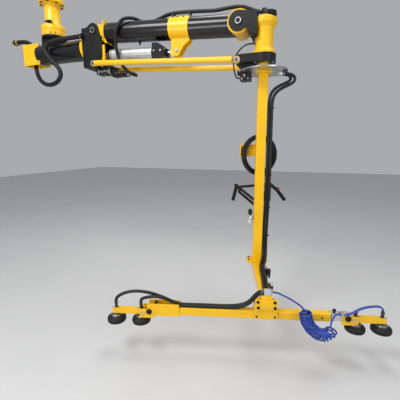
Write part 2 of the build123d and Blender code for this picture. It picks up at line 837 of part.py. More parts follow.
# Beam with its end sleeve
beam_left = -840.0
beam_right = 470.0
beam_corner = 6.0
beam = square_tube(
    end_plane(TOOL, beam_left, beam_y, beam_mid), beam_side, beam_wall, beam_corner, beam_right - beam_left
)
save(beam, "beam")

pivot_d = 16.0
sleeve_left = beam_left - 44.0
sleeve_right = beam_left + 200.0
sleeve_rise = 29.0
left_pivot = sleeve_left + 18.0
sleeve_inner = beam_side / 2 + fit_gap
sleeve_outer = sleeve_inner + sheet_t
strap_x = -819.0
with BuildPart() as end_sleeve:
    for outer_y in (beam_y + sleeve_outer, beam_y - sleeve_inner):
        with BuildSketch(side_plane(TOOL, 0, outer_y, 0)) as plate:
            sleeve_mid_z = (beam_top + sleeve_rise + beam_bottom - sheet_t) / 2
            with Locations(((sleeve_left + sleeve_right) / 2, sleeve_mid_z)):
                Rectangle(sleeve_right - sleeve_left, beam_side + sleeve_rise + sheet_t)
            fillet(plate.vertices().group_by(Axis.X)[0].sort_by(Axis.Y)[-1], radius=pivot_d)
            with Locations((left_pivot, beam_mid)):
                Circle(pivot_d / 2, mode=Mode.SUBTRACT)
        extrude(amount=sheet_t)
    block(
        TOOL, (beam_left, sleeve_right), (beam_y - sleeve_outer, beam_y + sleeve_outer),
        (beam_bottom - sheet_t, beam_bottom),
    )
    block(
        TOOL, (strap_x - 22, strap_x + 22), (beam_y - sleeve_outer, beam_y + sleeve_outer),
        (beam_top, beam_top + sheet_t),
    )
save(end_sleeve, "end_sleeve")

knob_r = 12.0
knob_h = 18.0
knob_stem_r = 5.0
knob_stem_h = 10.0


def knob(x, z):
    """A round clamping knob on a stem that stands at x on the height z."""
    with BuildPart() as piece:
        with BuildSketch(top_plane(TOOL, x, beam_y, z)):
            Circle(knob_stem_r)
        extrude(amount=knob_stem_h)
        with BuildSketch(top_plane(TOOL, x, beam_y, z + knob_stem_h)):
            Circle(knob_r)
        extrude(amount=knob_h)
    return piece


beam_knob = knob(strap_x, beam_top + sheet_t)
save(beam_knob, "beam_knob")

# Bar that slides out of the beam at the right
slide_clear = 0.5
slide_side = beam_side - 2 * beam_wall - 2 * slide_clear
slide_start = 210.0
right_pivot = 590.0
slide_end = right_pivot + 26.0
slide_corner = 4.0
slide_top = beam_mid + slide_side / 2
slide_tube = square_tube(
    end_plane(TOOL, slide_start, beam_y, beam_mid), slide_side, slide_corner, slide_corner,
    slide_end - slide_start,
)
with BuildPart() as slide_bar:
    add(slide_tube.part)
    with BuildSketch(side_plane(TOOL, right_pivot, beam_y + beam_side, beam_mid)):
        Circle(pivot_d / 2)
    extrude(amount=2 * beam_side, mode=Mode.SUBTRACT)
save(slide_bar, "slide_bar")

strand_x = 536.0
strand_y = beam_y - 51.0
strand_z = slide_top + 18.0
union_half = 12.0
union_reach = 14.0
slide_front = beam_y - slide_side / 2
with BuildPart() as union_block:
    block(
        TOOL, (strand_x - union_half, strand_x + union_half), (slide_front, beam_y),
        (slide_top, slide_top + sheet_t),
    )
    block(
        TOOL, (strand_x - union_half, strand_x + union_half), (strand_y - union_reach, slide_front),
        (slide_top, strand_z + union_reach),
    )
slide_knob = group(knob(strand_x - 2 * union_half - knob_r, slide_top), union_block)
save(slide_knob, "slide_knob")

# Cup bars and suction cups
bar_side = 40.0
bar_corner = 5.0
bar_setback = 44.0
bar_ear_t = 6.0
bar_ear_r = 26.0
bar_ear_back = 42.0
bar_ear_front = 72.0
cup_r = 77.5
cup_height = 85.0
cup_stem_r = 9.0
bar_bottom = beam_mid - bar_side / 2
bar_top = beam_mid + bar_side / 2
fitting_r = 13.0
fitting_h = 30.0
fitting_top = bar_top + fitting_h
left_cup_xs = (left_pivot - 267.0, left_pivot - 72.0)
right_cup_xs = (right_pivot + 66.0, right_pivot + 252.0)


def cup_bar(pivot_x, reach, half_gap, cup_xs):
    """A cup bar with two ears round its pivot; reach is signed along the beam."""
    side = 1 if reach > 0 else -1
    with BuildPart() as piece:
        with BuildSketch(side_plane(TOOL, pivot_x, beam_y + bar_side / 2, beam_mid)) as outline:
            with Locations((side * bar_setback / 2 + reach / 2, 0)):
                Rectangle(abs(reach) - bar_setback, bar_side)
            fillet(outline.vertices().group_by(Axis.X)[-1 if side > 0 else 0], radius=bar_side / 3)
        extrude(amount=bar_side)
        for outer_y in (half_gap + bar_ear_t, -half_gap):
            with BuildSketch(side_plane(TOOL, pivot_x, beam_y + outer_y, beam_mid)) as ear:
                with Locations((side * (bar_ear_front - bar_ear_back) / 2, 0)):
                    Rectangle(bar_ear_front + bar_ear_back, 2 * bar_ear_r)
                fillet(ear.vertices(), radius=bar_corner * 2)
            extrude(amount=bar_ear_t)
        near, far = sorted((pivot_x + side * bar_setback, pivot_x + side * bar_ear_front))
        block(TOOL, (near, far), (beam_y - half_gap, beam_y + half_gap), (bar_bottom, bar_top))
        with BuildSketch(side_plane(TOOL, pivot_x, beam_y + half_gap + bar_ear_t, beam_mid)):
            Circle(pivot_d / 2 - fit_gap)
        extrude(amount=2 * (half_gap + bar_ear_t))
        for x in cup_xs:
            with BuildSketch(top_plane(TOOL, x, beam_y, bar_bottom)):
                Circle(cup_stem_r + fit_gap)
            extrude(amount=bar_side, mode=Mode.SUBTRACT)
    return piece


left_cup_bar = cup_bar(left_pivot, -292.0, sleeve_outer + face_gap, left_cup_xs)
save(left_cup_bar, "left_cup_bar")
right_cup_bar = cup_bar(right_pivot, 276.0, slide_side / 2 + face_gap, right_cup_xs)
save(right_cup_bar, "right_cup_bar")


def cup(x):
    """A bell suction cup at x, with its stem through the bar and the hose fitting on top."""
    outline = [
        (0, fitting_top), (fitting_r, fitting_top), (fitting_r, bar_top), (cup_stem_r, bar_top),
        (cup_stem_r, bar_bottom),
        (20, bar_bottom), (20, bar_bottom - 6), (34, bar_bottom - 14), (43, bar_bottom - 30),
        (44, bar_bottom - 42), (66, bar_bottom - 50), (cup_r, bar_bottom - 58), (cup_r, bar_bottom - 74),
        (74, bar_bottom - cup_height), (64, bar_bottom - cup_height), (40, bar_bottom - 52),
        (0, bar_bottom - 52), (0, fitting_top),
    ]
    with BuildPart() as piece:
        with BuildSketch(side_plane(TOOL, x, beam_y, 0)):
            with BuildLine():
                Polyline(*outline)
            make_face()
        revolve(axis=Axis(TOOL.from_local_coords((x, beam_y, 0)), (0, 0, 1)))
    return piece


left_suction_cups = group(*(cup(x) for x in left_cup_xs))
save(left_suction_cups, "left_suction_cups")
right_suction_cups = group(*(cup(x) for x in right_cup_xs))
save(right_suction_cups, "right_suction_cups")

# Fittings of the air supply and the vacuum lines
supply_d = 42.0
supply_z = -336.0
inlet_x = -520.0
inlet_len = 30.0
inlet_r = 27.0
elbow_half = 24.0
elbow_x = p3[0] - 110.0
elbow_z = block_top - 82.0
with BuildPart() as supply_coupling:
    with BuildSketch(end_plane(ROW, inlet_x, 0, supply_z)):
        Circle(inlet_r)
    extrude(amount=inlet_len)
    with BuildSketch(end_plane(ROW, inlet_x - 2 * inlet_len, 0, supply_z)):
        Circle(supply_d / 2)
    extrude(amount=2 * inlet_len)
    block(
        ROW, (elbow_x - elbow_half, elbow_x), (-cheek_inner - 2 * elbow_half, -cheek_inner),
        (elbow_z - elbow_half, elbow_z + elbow_half),
    )
save(supply_coupling, "supply_coupling")

hose_y = -cheek_inner - elbow_half
supply_hose = hose("supply_hose", ROW, [
    (inlet_x + inlet_len, 0, supply_z), (-438, 0, supply_z), (-368, 0, -346), (-308, -2, -384),
    (-280, -4, -448), (-273, -6, -530), (-268, -14, -610), (-240, -30, -680), (-185, -58, -745), (-110, -88, -797),
    (-20, -112, -826), (72, -132, -828), (146, -140, -800), (182, -141, -744), (160, -141, -680),
    (92, -141, -618), (26, -141, -556), (-6, -137, -492), (22, -131, -442), (100, -129, -424),
    (220, -130, -417), (elbow_x - 130, hose_y, elbow_z), (elbow_x - elbow_half, hose_y, elbow_z),
], supply_d)
save(supply_hose, "supply_hose")

clip_w = 16.0
clip_spots = (collar_start + 16.0, collar_end - 14.0)
lug_spots = (155.0, 450.0)
lug_h = 24.0
conduit_d = 30.0
conduit_lift = 38.0
clip_play = 1.5
conduit_seat = main_r + conduit_d / 2 + fit_gap
clip_mid = collar_r + conduit_lift
with BuildPart() as hose_clips:
    for x in clip_spots:
        with BuildSketch(end_plane(ARM, x - clip_w / 2, 0, 0)):
            with Locations((0, collar_r + conduit_lift / 2)):
                Rectangle(conduit_d + 8, conduit_lift + 8)
            Circle(collar_r, mode=Mode.SUBTRACT)
            with Locations((0, clip_mid)):
                Circle(conduit_d / 2 + clip_play, mode=Mode.SUBTRACT)
        extrude(amount=clip_w)
    for x in lug_spots:
        with BuildSketch(end_plane(ARM, x - clip_w / 2, 0, 0)):
            with Locations((0, -main_r)):
                Rectangle(clip_w, 2 * lug_h)
            Circle(main_r, mode=Mode.SUBTRACT)
        extrude(amount=clip_w)
save(hose_clips, "hose_clips")

gland_z = cap_top + gland_h / 2
conduit_join = 487.0
arm_hose = hose("arm_hose", ARM, [
    (conduit_join, 0, conduit_seat), (conduit_join + 80, 0, conduit_seat), (640, 0, conduit_seat + 3),
    (collar_start - 14, 0, clip_mid), (collar_end + 16, 0, clip_mid), (1080, 1, clip_mid - 4),
    (1175, 1, clip_mid - 7), (1262, -2, clip_mid + 2), (1345, 1, clip_mid + 11), (1425, 0, clip_mid + 6),
    ARM.to_local_coords(Vector(gland_x - 42, 0, gland_z)),
    ARM.to_local_coords(Vector(gland_x, 0, gland_z)),
], conduit_d)
save(arm_hose, "arm_hose")

def from_pivot(x, y, z):
    """A point of the row frame, given from the arm's upper pivot."""
    return (p1[0] + x, y, p1[1] + z)


lift_cable = hose("lift_cable", ROW, [
    ARM.from_local_coords((conduit_join, 0, conduit_seat)),
    ARM.from_local_coords((440, 0, conduit_seat)), from_pivot(400, -22, 84), from_pivot(358, -54, 85),
    from_pivot(318, -94, 59), from_pivot(282, -114, 4), from_pivot(254, -113, -62),
    from_pivot(243, -95, -122), from_pivot(242, -85, -188), from_pivot(256, -84, -254),
    from_pivot(290, -83, -314), from_pivot(335, -80, -362), from_pivot(382, -70, -384),
    from_pivot(416, -36, -389), from_pivot(406, 0, -388), (p1[0] + 364, 0, valve_mid),
    (valve_end, 0, valve_mid),
], conduit_d)
save(lift_cable, "lift_cable")

twin_d = 24.0
pair_d = 22.0
port_x = 152.0
port_half_y = 34.0
port_h = 30.0
tee_left = -22.0
tee_right = 33.0
tee_back = beam_y - 18.0
tee_front = beam_y - 66.0
tee_h = 38.0
ejector_h = 40.0
ejector_right = 88.0
ejector_spans = ((-290, -160), (-520, -450))
small_right = 72.0
silencer_x = 72.0
silencer_r = 12.0
silencer_h = 14.0
regulator_x = -half - 32.0
regulator_z = mast_bottom + 328.0
regulator_r = 22.0
regulator_h = 120.0
dial_r = 15.0
dial_h = 21.0
half_hose = twin_d / 2
with BuildPart() as vacuum_fittings:
    block(TOOL, (port_x - 34, port_x), (-port_half_y, port_half_y), (flange_top - port_h, flange_top))
    block(TOOL, (tee_left, tee_right), (tee_front, tee_back), (forward_top, forward_top + tee_h))
    block(TOOL, (half, ejector_right), ejector_spans[0], (forward_top - ejector_h, forward_top))
    block(TOOL, (half + 17, ejector_right), ejector_spans[0], (forward_top, forward_top + ejector_h))
    block(TOOL, (half, small_right), ejector_spans[1], (forward_top - ejector_h, forward_top))
    block(TOOL, (half + 6, small_right), ejector_spans[1], (forward_top, forward_top + ejector_h))
    for y in (-195, -255):
        with BuildSketch(top_plane(TOOL, silencer_x, y, forward_top + ejector_h)):
            Circle(silencer_r)
        extrude(amount=silencer_h)
    with BuildSketch(top_plane(TOOL, regulator_x, 0, regulator_z)):
        Circle(regulator_r)
    extrude(amount=regulator_h)
    with BuildSketch(top_plane(TOOL, regulator_x, 0, regulator_z + regulator_h)):
        Circle(dial_r)
    extrude(amount=dial_h)
    block(TOOL, (-half - 24, -half), (-12, 12), (regulator_z + 32, regulator_z + 92))
save(vacuum_fittings, "vacuum_fittings")

run_z = forward_top + half_hose + fit_gap


def below_top(x, y, z):
    """A point of the tool frame, given from the mast's top."""
    return (x, y, mast_top + z)


def above_foot(x, y, z):
    """A point of the tool frame, given from the mast's foot."""
    return (x, y, mast_bottom + z)


def by_beam(x, y, z):
    """A point of the tool frame, given from the middle of the beam's top."""
    return (x, beam_y + y, beam_top + z)


mast_hose_outer = hose("mast_hose_outer", TOOL, [
    below_top(port_x, -14, -1.874), below_top(216, -14, -1.874), below_top(262, -14, -29.874),
    below_top(256, -13, -69.874), below_top(206, -12, -95.874), below_top(148, -11, -121.874),
    below_top(104, -10, -157.874), below_top(86, -9, -207.874), below_top(82, -8, -265.874),
    below_top(84, -8, -375.874), below_top(85, -9, -575.874), above_foot(87, -8, 787.126),
    above_foot(86, -9, 547.126), above_foot(81, -8, 347.126), above_foot(78, -9, 207.126),
    above_foot(79, -12, 107.126), above_foot(78, -34, 45.126), above_foot(66, -78, 13.126),
    (46, -134, run_z), (35, -240, run_z), (29, -400, run_z), (21, -510, run_z), (16, -566, run_z),
    (16, tee_back, run_z),
], twin_d)
mast_hose_inner = hose("mast_hose_inner", TOOL, [
    below_top(port_x, 14, -2.874), below_top(208, 14, -2.874), below_top(234, 11, -31.874),
    below_top(220, 8, -59.874), below_top(174, 3, -79.874), below_top(118, -3, -105.874),
    below_top(76, -7, -145.874), below_top(60, -8, -199.874), below_top(57, -8, -261.874),
    below_top(59, -8, -377.874), below_top(60, -9, -577.874), above_foot(62, -8, 785.126),
    above_foot(61, -9, 545.126), above_foot(55, -8, 345.126), above_foot(53, -9, 205.126),
    above_foot(54, -11, 109.126), above_foot(53, -34, 47.126), above_foot(41, -78, 13.126),
    (19, -134, run_z), (9, -242, run_z), (4, -402, run_z), (-5, -512, run_z), (-9, -568, run_z),
    (-9, tee_back, run_z),
], twin_d)
mast_hoses = group(mast_hose_outer, mast_hose_inner)
save(mast_hoses, "mast_hoses")

tee_mid = forward_top + tee_h / 2
pair_z = beam_top + pair_d / 2 + fit_gap
left_hose_outer = hose("left_hose_outer", TOOL, [
    (tee_left, beam_y - 30, tee_mid), (-44, beam_y - 30, tee_mid), by_beam(-74, -12, 124.126),
    by_beam(-106, 8, 66.126), by_beam(-150, 12, 32.126), by_beam(-214, 13, 16.126),
    (-300, beam_y + 11, pair_z), (-430, beam_y + 13, pair_z), (-550, beam_y + 11, pair_z),
    (-640, beam_y + 12, pair_z), by_beam(-705, 12, 34.126), by_beam(-780, 13, 68.126),
    by_beam(-870, 12, 96.126), by_beam(-960, 10, 108.126), by_beam(-1040, 6, 100.126),
    by_beam(-1098, 2, 76.126), by_beam(left_cup_xs[0], 0, 46.126),
    (left_cup_xs[0], beam_y, fitting_top),
], pair_d)
left_hose_inner = hose("left_hose_inner", TOOL, [
    (tee_left, beam_y - 54, tee_mid), (-44, beam_y - 54, tee_mid), by_beam(-76, -38, 122.126),
    by_beam(-108, -20, 64.126), by_beam(-156, -12, 28.126), by_beam(-220, -13, 14.126),
    (-306, beam_y - 11, pair_z), (-434, beam_y - 13, pair_z), (-540, beam_y - 11, pair_z),
    (-620, beam_y - 12, pair_z), by_beam(-680, -11, 34.126), by_beam(-742, -11, 64.126),
    by_beam(-808, -13, 80.126), by_beam(-872, -11, 73.126), by_beam(-920, -5, 57.126),
    by_beam(left_cup_xs[1], 0, 40.126), (left_cup_xs[1], beam_y, fitting_top),
], pair_d)
left_hoses = group(left_hose_outer, left_hose_inner)
save(left_hoses, "left_hoses")

# Curled line to the sliding bar and the hose to the right cups
curl_d = 88.0
curl_y = -700.0
line_d = 10.0
curl_lead = hose("curl_lead", TOOL, [
    (tee_right, -640, tee_mid), (70, -640, tee_mid), by_beam(112, -46, 142.126),
    by_beam(156, -54, 118.126), by_beam(204, -68, 88.126), by_beam(246, -84, 62.126),
    by_beam(267, curl_y - beam_y, 37.126),
], line_d)
curl = hose("curl", TOOL, [
    by_beam(267, curl_y - beam_y, 37.126), by_beam(272, -101, 4.126), by_beam(290, -102, -45.874),
    by_beam(331, -103, -93.874), by_beam(376, -103, -121.874), by_beam(420, -102, -125.874),
    by_beam(456, -101, -101.874), by_beam(468, curl_y - beam_y, -61.874),
], curl_d)
curl_tail = hose("curl_tail", TOOL, [
    by_beam(468, curl_y - beam_y, -61.874), by_beam(474, -90, -39.874), by_beam(486, -72, -11.874),
    (504, strand_y, strand_z), (strand_x - 12, strand_y, strand_z),
], line_d)
spiral_hose = group(curl_lead, curl, curl_tail)
save(spiral_hose, "spiral_hose")

right_cup_hose = hose("right_cup_hose", TOOL, [
    (strand_x + 12, strand_y, strand_z), (584, strand_y, strand_z), by_beam(624, -42, 34.126),
    by_beam(668, -26, 56.126), by_beam(726, -12, 68.126), by_beam(786, -3, 74.126),
    by_beam(826, 0, 67.126), by_beam(right_cup_xs[1], 0, 44.126),
    (right_cup_xs[1], beam_y, fitting_top),
], pair_d)
save(right_cup_hose, "right_cup_hose")

# Handlebar with its control box, and the coiled cable on its hanger
grip_d = 34.0
rail_d = 16.0
rail_y = 260.0
pad_t = 8.0
rail_left = (-190.0, rail_y, -1844.0)
rail_right = (150.0, rail_y, -1811.0)
brace_zs = (-1944.0, -1986.0)
box_left = 82.0
box_right = 124.0
with BuildPart() as mast_pad:
    block(TOOL, (-half + 2, half - 2), (half, half + pad_t), (-2010, -1920))
    block(TOOL, (box_left, box_right), (125, rail_y - rail_d / 2), (-1960, -1790))
handlebar_parts = [
    mast_pad, bar(TOOL, rail_left, rail_right, rail_d), bar(TOOL, rail_left, (-219, 280, -1979), grip_d),
    bar(TOOL, (137, rail_y, -1812), (207, rail_y, -1869), grip_d),
    bar(TOOL, (207, rail_y, -1869), (284, rail_y, -1968), grip_d),
]
for z in brace_zs:
    handlebar_parts.append(bar(TOOL, (-20, half + pad_t, z), (-158, rail_y, z + 92), rail_d))
    handlebar_parts.append(bar(TOOL, (20, half + pad_t, z), (112, rail_y - 10, z + 92), rail_d))
handlebar = group(*handlebar_parts)
save(handlebar, "handlebar")

coil_mid = (5.0, 130.0, -1527.0)
coil_w = 328.0
coil_h = 386.0
coil_band = 50.0
coil_depth = 46.0
with BuildPart() as hose_coil:
    with BuildSketch(side_plane(TOOL, coil_mid[0], coil_mid[1] + coil_depth / 2, coil_mid[2])):
        Ellipse(coil_w / 2, coil_h / 2)
        Ellipse(coil_w / 2 - coil_band, coil_h / 2 - coil_band, mode=Mode.SUBTRACT)
    extrude(amount=coil_depth)
save(hose_coil, "hose_coil")

hook_z = coil_mid[2] + coil_h / 2 - coil_band
with BuildPart() as coil_hanger:
    block(TOOL, (-half + 2, half - 2), (half, half + pad_t), (hook_z - 120, hook_z))
    with BuildSketch(side_plane(TOOL, coil_mid[0], coil_mid[1] + coil_depth / 2 + 12, coil_mid[2])):
        Ellipse(coil_w / 2 - coil_band - fit_gap, coil_h / 2 - coil_band - fit_gap)
        Ellipse(coil_w / 2 - coil_band - sheet_t, coil_h / 2 - coil_band - sheet_t, mode=Mode.SUBTRACT)
        with Locations((0, -coil_h / 2 + 60)):
            Rectangle(coil_w, coil_h, mode=Mode.SUBTRACT)
    extrude(amount=coil_mid[1] + coil_depth / 2 + 12 - half - pad_t)
save(coil_hanger, "coil_hanger")
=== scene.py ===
import json
from math import cos, pi, radians, sin

import bmesh
import bpy
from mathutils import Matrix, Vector


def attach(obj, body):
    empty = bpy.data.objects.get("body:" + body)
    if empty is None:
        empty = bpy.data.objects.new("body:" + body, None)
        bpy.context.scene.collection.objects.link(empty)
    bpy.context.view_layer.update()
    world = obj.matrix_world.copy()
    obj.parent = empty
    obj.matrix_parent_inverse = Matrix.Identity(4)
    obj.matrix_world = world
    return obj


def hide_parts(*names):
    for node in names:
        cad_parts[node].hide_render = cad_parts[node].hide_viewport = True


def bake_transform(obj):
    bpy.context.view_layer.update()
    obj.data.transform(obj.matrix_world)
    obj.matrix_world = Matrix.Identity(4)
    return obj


MM = 0.001
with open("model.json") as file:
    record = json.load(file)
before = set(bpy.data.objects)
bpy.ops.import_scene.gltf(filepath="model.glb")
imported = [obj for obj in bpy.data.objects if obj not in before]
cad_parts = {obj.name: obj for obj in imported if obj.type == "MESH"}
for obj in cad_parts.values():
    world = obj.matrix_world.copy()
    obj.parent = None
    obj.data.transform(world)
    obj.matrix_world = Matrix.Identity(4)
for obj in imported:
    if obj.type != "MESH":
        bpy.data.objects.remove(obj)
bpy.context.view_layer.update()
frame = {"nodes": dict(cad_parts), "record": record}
nodes = frame["nodes"]
scene = bpy.context.scene

# The camera, fitted to the photograph
camera_data = bpy.data.cameras.new("camera")
camera_data.sensor_width = 36.0
camera_data.lens = 26.64
camera = bpy.data.objects.new("camera", camera_data)
scene.collection.objects.link(camera)
camera.location = (2.5132, -2.6500, -1.448)
camera.rotation_euler = (radians(79.7), 0.0, radians(19.03))
scene.camera = camera
scene.view_settings.view_transform = "Standard"

# Dimensions that the pieces share, in millimetres, as in the model
ARM_LENGTH = 1400.0
ARM_DROP = radians(3.65)
BASE_REACH = 560.0
PIVOT_DROP = 368.0
LINK_SPACING = 300.0
SWIVEL_X = BASE_REACH + ARM_LENGTH * cos(ARM_DROP) + 200.0
TURN = radians(14.8)
# Pivots as x and z: P1 and P2 are the lift arm's, P3 and P4 the lower links'
P1 = (BASE_REACH, -PIVOT_DROP)
P2 = (BASE_REACH + ARM_LENGTH * cos(ARM_DROP), -PIVOT_DROP - ARM_LENGTH * sin(ARM_DROP))
P3 = (P1[0], P1[1] - LINK_SPACING)
P4 = (P2[0], P2[1] - LINK_SPACING)

BEAM_Y = -600.0
CHEEK_INNER = 95.0
CHEEK_THICK = 12.0
MAST_SIDE = 80.0
MAST_FACE = MAST_SIDE / 2 + 0.2
BEAM_SIDE = 60.0
BAR_SIDE = 40.0
ARM_TUBE_R, COLLAR_R = 89.0, 97.0


def row(x, y, z):
    """A point of the row frame, from millimetres."""
    return Vector((x * MM, y * MM, z * MM))


def arm(x, y, z):
    """A point given along, across and above the lift arm."""
    return row(
        P1[0] + x * cos(ARM_DROP) + z * sin(ARM_DROP), y, P1[1] - x * sin(ARM_DROP) + z * cos(ARM_DROP)
    )


def tool(x, y, z):
    """A point given in the turning tool's frame."""
    return row(SWIVEL_X + x * cos(TURN) - y * sin(TURN), x * sin(TURN) + y * cos(TURN), z)


X_ROW, Y_ROW, Z_UP = Vector((1, 0, 0)), Vector((0, 1, 0)), Vector((0, 0, 1))
Z_ARM = Vector((sin(ARM_DROP), 0, cos(ARM_DROP)))
X_TOOL = Vector((cos(TURN), sin(TURN), 0))
Y_TOOL = Vector((-sin(TURN), cos(TURN), 0))


# Materials
def material(name, colour, rough, metal=0.0, mottle=0.06, scale=9.0, bump=0.05, coat=0.0, edge_wear_and_highlight=None,
             edge=0.0015, streak=None, gloss=0.5):
    """A procedural finish: slow mottling, fine bump, softened edges and, if asked, edges lightened
    towards a given colour, partly as wear and partly as a painted highlight.
    """
    made = bpy.data.materials.new(name)
    made.use_nodes = True
    tree = made.node_tree
    links = tree.links
    shader = tree.nodes["Principled BSDF"]
    shader.inputs["Metallic"].default_value = metal
    shader.inputs["Coat Weight"].default_value = coat
    shader.inputs["Coat Roughness"].default_value = 0.12
    shader.inputs["Specular IOR Level"].default_value = gloss
    place = tree.nodes.new("ShaderNodeTexCoord")
    source = place.outputs["Object"]
    if streak:
        mapping = tree.nodes.new("ShaderNodeMapping")
        mapping.inputs["Scale"].default_value = streak
        links.new(source, mapping.inputs["Vector"])
        source = mapping.outputs["Vector"]
    slow = tree.nodes.new("ShaderNodeTexNoise")
    slow.inputs["Scale"].default_value = scale
    slow.inputs["Detail"].default_value = 6.0
    links.new(source, slow.inputs["Vector"])
    ramp = tree.nodes.new("ShaderNodeValToRGB")
    ramp.color_ramp.elements[0].position = 0.3
    ramp.color_ramp.elements[1].position = 0.7
    ramp.color_ramp.elements[0].color = [c * (1 - mottle) for c in colour] + [1]
    ramp.color_ramp.elements[1].color = [min(1, c * (1 + mottle)) for c in colour] + [1]
    links.new(slow.outputs["Fac"], ramp.inputs["Fac"])
    tint = ramp.outputs["Color"]
    spread = tree.nodes.new("ShaderNodeMapRange")
    spread.inputs["To Min"].default_value = max(0.02, rough - 0.08)
    spread.inputs["To Max"].default_value = min(1.0, rough + 0.08)
    links.new(slow.outputs["Fac"], spread.inputs["Value"])
    links.new(spread.outputs["Result"], shader.inputs["Roughness"])
    fine = tree.nodes.new("ShaderNodeTexNoise")
    fine.inputs["Scale"].default_value = scale * 40
    fine.inputs["Detail"].default_value = 3.0
    links.new(source, fine.inputs["Vector"])
    relief = tree.nodes.new("ShaderNodeBump")
    relief.inputs["Strength"].default_value = bump
    relief.inputs["Distance"].default_value = 0.001
    links.new(fine.outputs["Fac"], relief.inputs["Height"])
    if edge:
        soft = tree.nodes.new("ShaderNodeBevel")
        soft.samples = 4
        soft.inputs["Radius"].default_value = edge
        links.new(soft.outputs["Normal"], relief.inputs["Normal"])
        # Edge mask from the softened normal against the true normal: edges are lightened towards the
        # given colour, partly as wear and partly as a painted edge highlight.
        if edge_wear_and_highlight:
            flat = tree.nodes.new("ShaderNodeNewGeometry")
            match = tree.nodes.new("ShaderNodeVectorMath")
            match.operation = "DOT_PRODUCT"
            links.new(soft.outputs["Normal"], match.inputs[0])
            links.new(flat.outputs["Normal"], match.inputs[1])
            rim = tree.nodes.new("ShaderNodeMapRange")
            rim.inputs["From Min"].default_value = 0.995
            rim.inputs["From Max"].default_value = 0.85
            rim.inputs["To Max"].default_value = 0.7
            links.new(match.outputs["Value"], rim.inputs["Value"])
            mix = tree.nodes.new("ShaderNodeMix")
            mix.data_type = "RGBA"
            links.new(rim.outputs["Result"], mix.inputs["Factor"])
            links.new(tint, mix.inputs["A"])
            mix.inputs["B"].default_value = list(edge_wear_and_highlight) + [1]
            tint = mix.outputs["Result"]
    links.new(relief.outputs["Normal"], shader.inputs["Normal"])
    links.new(tint, shader.inputs["Base Color"])
    return made


def ribbed(made, period, strength):
    """Adds fine rings across the upright axis to a finish, for the grips."""
    tree = made.node_tree
    place = tree.nodes.new("ShaderNodeTexCoord")
    wave = tree.nodes.new("ShaderNodeTexWave")
    wave.bands_direction = "Z"
    wave.inputs["Scale"].default_value = 0.314 / period
    tree.links.new(place.outputs["Object"], wave.inputs["Vector"])
    relief = tree.nodes.new("ShaderNodeBump")
    relief.inputs["Strength"].default_value = strength
    relief.inputs["Distance"].default_value = 0.002
    tree.links.new(wave.outputs["Fac"], relief.inputs["Height"])
    shader = tree.nodes["Principled BSDF"]
    tree.links.new(shader.inputs["Normal"].links[0].from_socket, relief.inputs["Normal"])
    tree.links.new(relief.outputs["Normal"], shader.inputs["Normal"])


# The lighter edge colours given below are partly wear and partly a painted edge highlight.
yellow = material(
    "yellow_paint_look", (0.93, 0.53, 0.002), 0.36, mottle=0.05, scale=5, bump=0.06, coat=0.25,
    edge_wear_and_highlight=(0.98, 0.70, 0.10), edge=0.002, gloss=0.4
)
black_paint = material(
    "black_paint_look", (0.007, 0.007, 0.008), 0.42, mottle=0.3, scale=12, bump=0.08, gloss=0.3,
    edge_wear_and_highlight=(0.035, 0.035, 0.04), edge=0.002
)
black_gloss = material(
    "black_gloss_look", (0.006, 0.006, 0.007), 0.26, mottle=0.3, scale=6, bump=0.03, coat=0.3,
    edge_wear_and_highlight=(0.03, 0.03, 0.033), edge=0.002, gloss=0.4
)
steel = material(
    "bright_steel_look", (0.60, 0.60, 0.61), 0.25, metal=1.0, mottle=0.1, scale=30, bump=0.05,
    edge=0.001
)
disc_steel = material(
    "disc_steel_look", (0.55, 0.55, 0.56), 0.3, metal=1.0, mottle=0.14, scale=60, bump=0.06, edge=0.001,
    streak=(1, 1, 12)
)
alloy = material(
    "alloy_look", (0.62, 0.63, 0.64), 0.32, metal=0.55, mottle=0.08, scale=18, bump=0.05, edge=0.0015,
    edge_wear_and_highlight=(0.8, 0.8, 0.8)
)
zinc = material(
    "zinc_look", (0.48, 0.48, 0.46), 0.36, metal=0.9, mottle=0.2, scale=45, bump=0.05, edge=0.0008
)
hub_steel = material(
    "hub_steel_look", (0.22, 0.22, 0.23), 0.34, metal=0.8, mottle=0.2, scale=40, bump=0.05, edge=0.0008
)
dark_steel = material(
    "dark_steel_look", (0.06, 0.06, 0.065), 0.38, metal=0.7, mottle=0.25, scale=40, bump=0.05,
    edge=0.0008
)
brass = material(
    "brass_look", (0.60, 0.44, 0.16), 0.3, metal=1.0, mottle=0.1, scale=40, bump=0.04, edge=0.0008
)
rubber = material(
    "cup_rubber_look", (0.008, 0.008, 0.008), 0.55, mottle=0.25, scale=25, bump=0.15, edge=0.001,
    gloss=0.35
)
hose_black = material(
    "hose_look", (0.007, 0.007, 0.008), 0.4, mottle=0.25, scale=14, bump=0.05, edge=0, gloss=0.4
)
conduit_black = material(
    "conduit_look", (0.007, 0.007, 0.008), 0.46, mottle=0.25, scale=14, bump=0.05, edge=0, gloss=0.35
)
grip_black = material(
    "grip_look", (0.007, 0.007, 0.007), 0.6, mottle=0.25, scale=30, bump=0.15, edge=0.001, gloss=0.3
)
ribbed(grip_black, 0.006, 0.5)
blue = material(
    "spiral_blue_look", (0.001, 0.038, 0.33), 0.24, mottle=0.2, scale=30, bump=0.02, coat=0.35, edge=0
)
plastic = material(
    "black_plastic_look", (0.009, 0.009, 0.010), 0.5, mottle=0.25, scale=35, bump=0.12, edge=0.0015,
    edge_wear_and_highlight=(0.03, 0.03, 0.03), gloss=0.35
)
white = material(
    "white_plastic_look", (0.70, 0.70, 0.68), 0.4, mottle=0.05, scale=30, bump=0.05, edge=0.001
)
red = material(
    "red_plastic_look", (0.55, 0.012, 0.008), 0.35, mottle=0.1, scale=30, bump=0.04, edge=0.0008
)
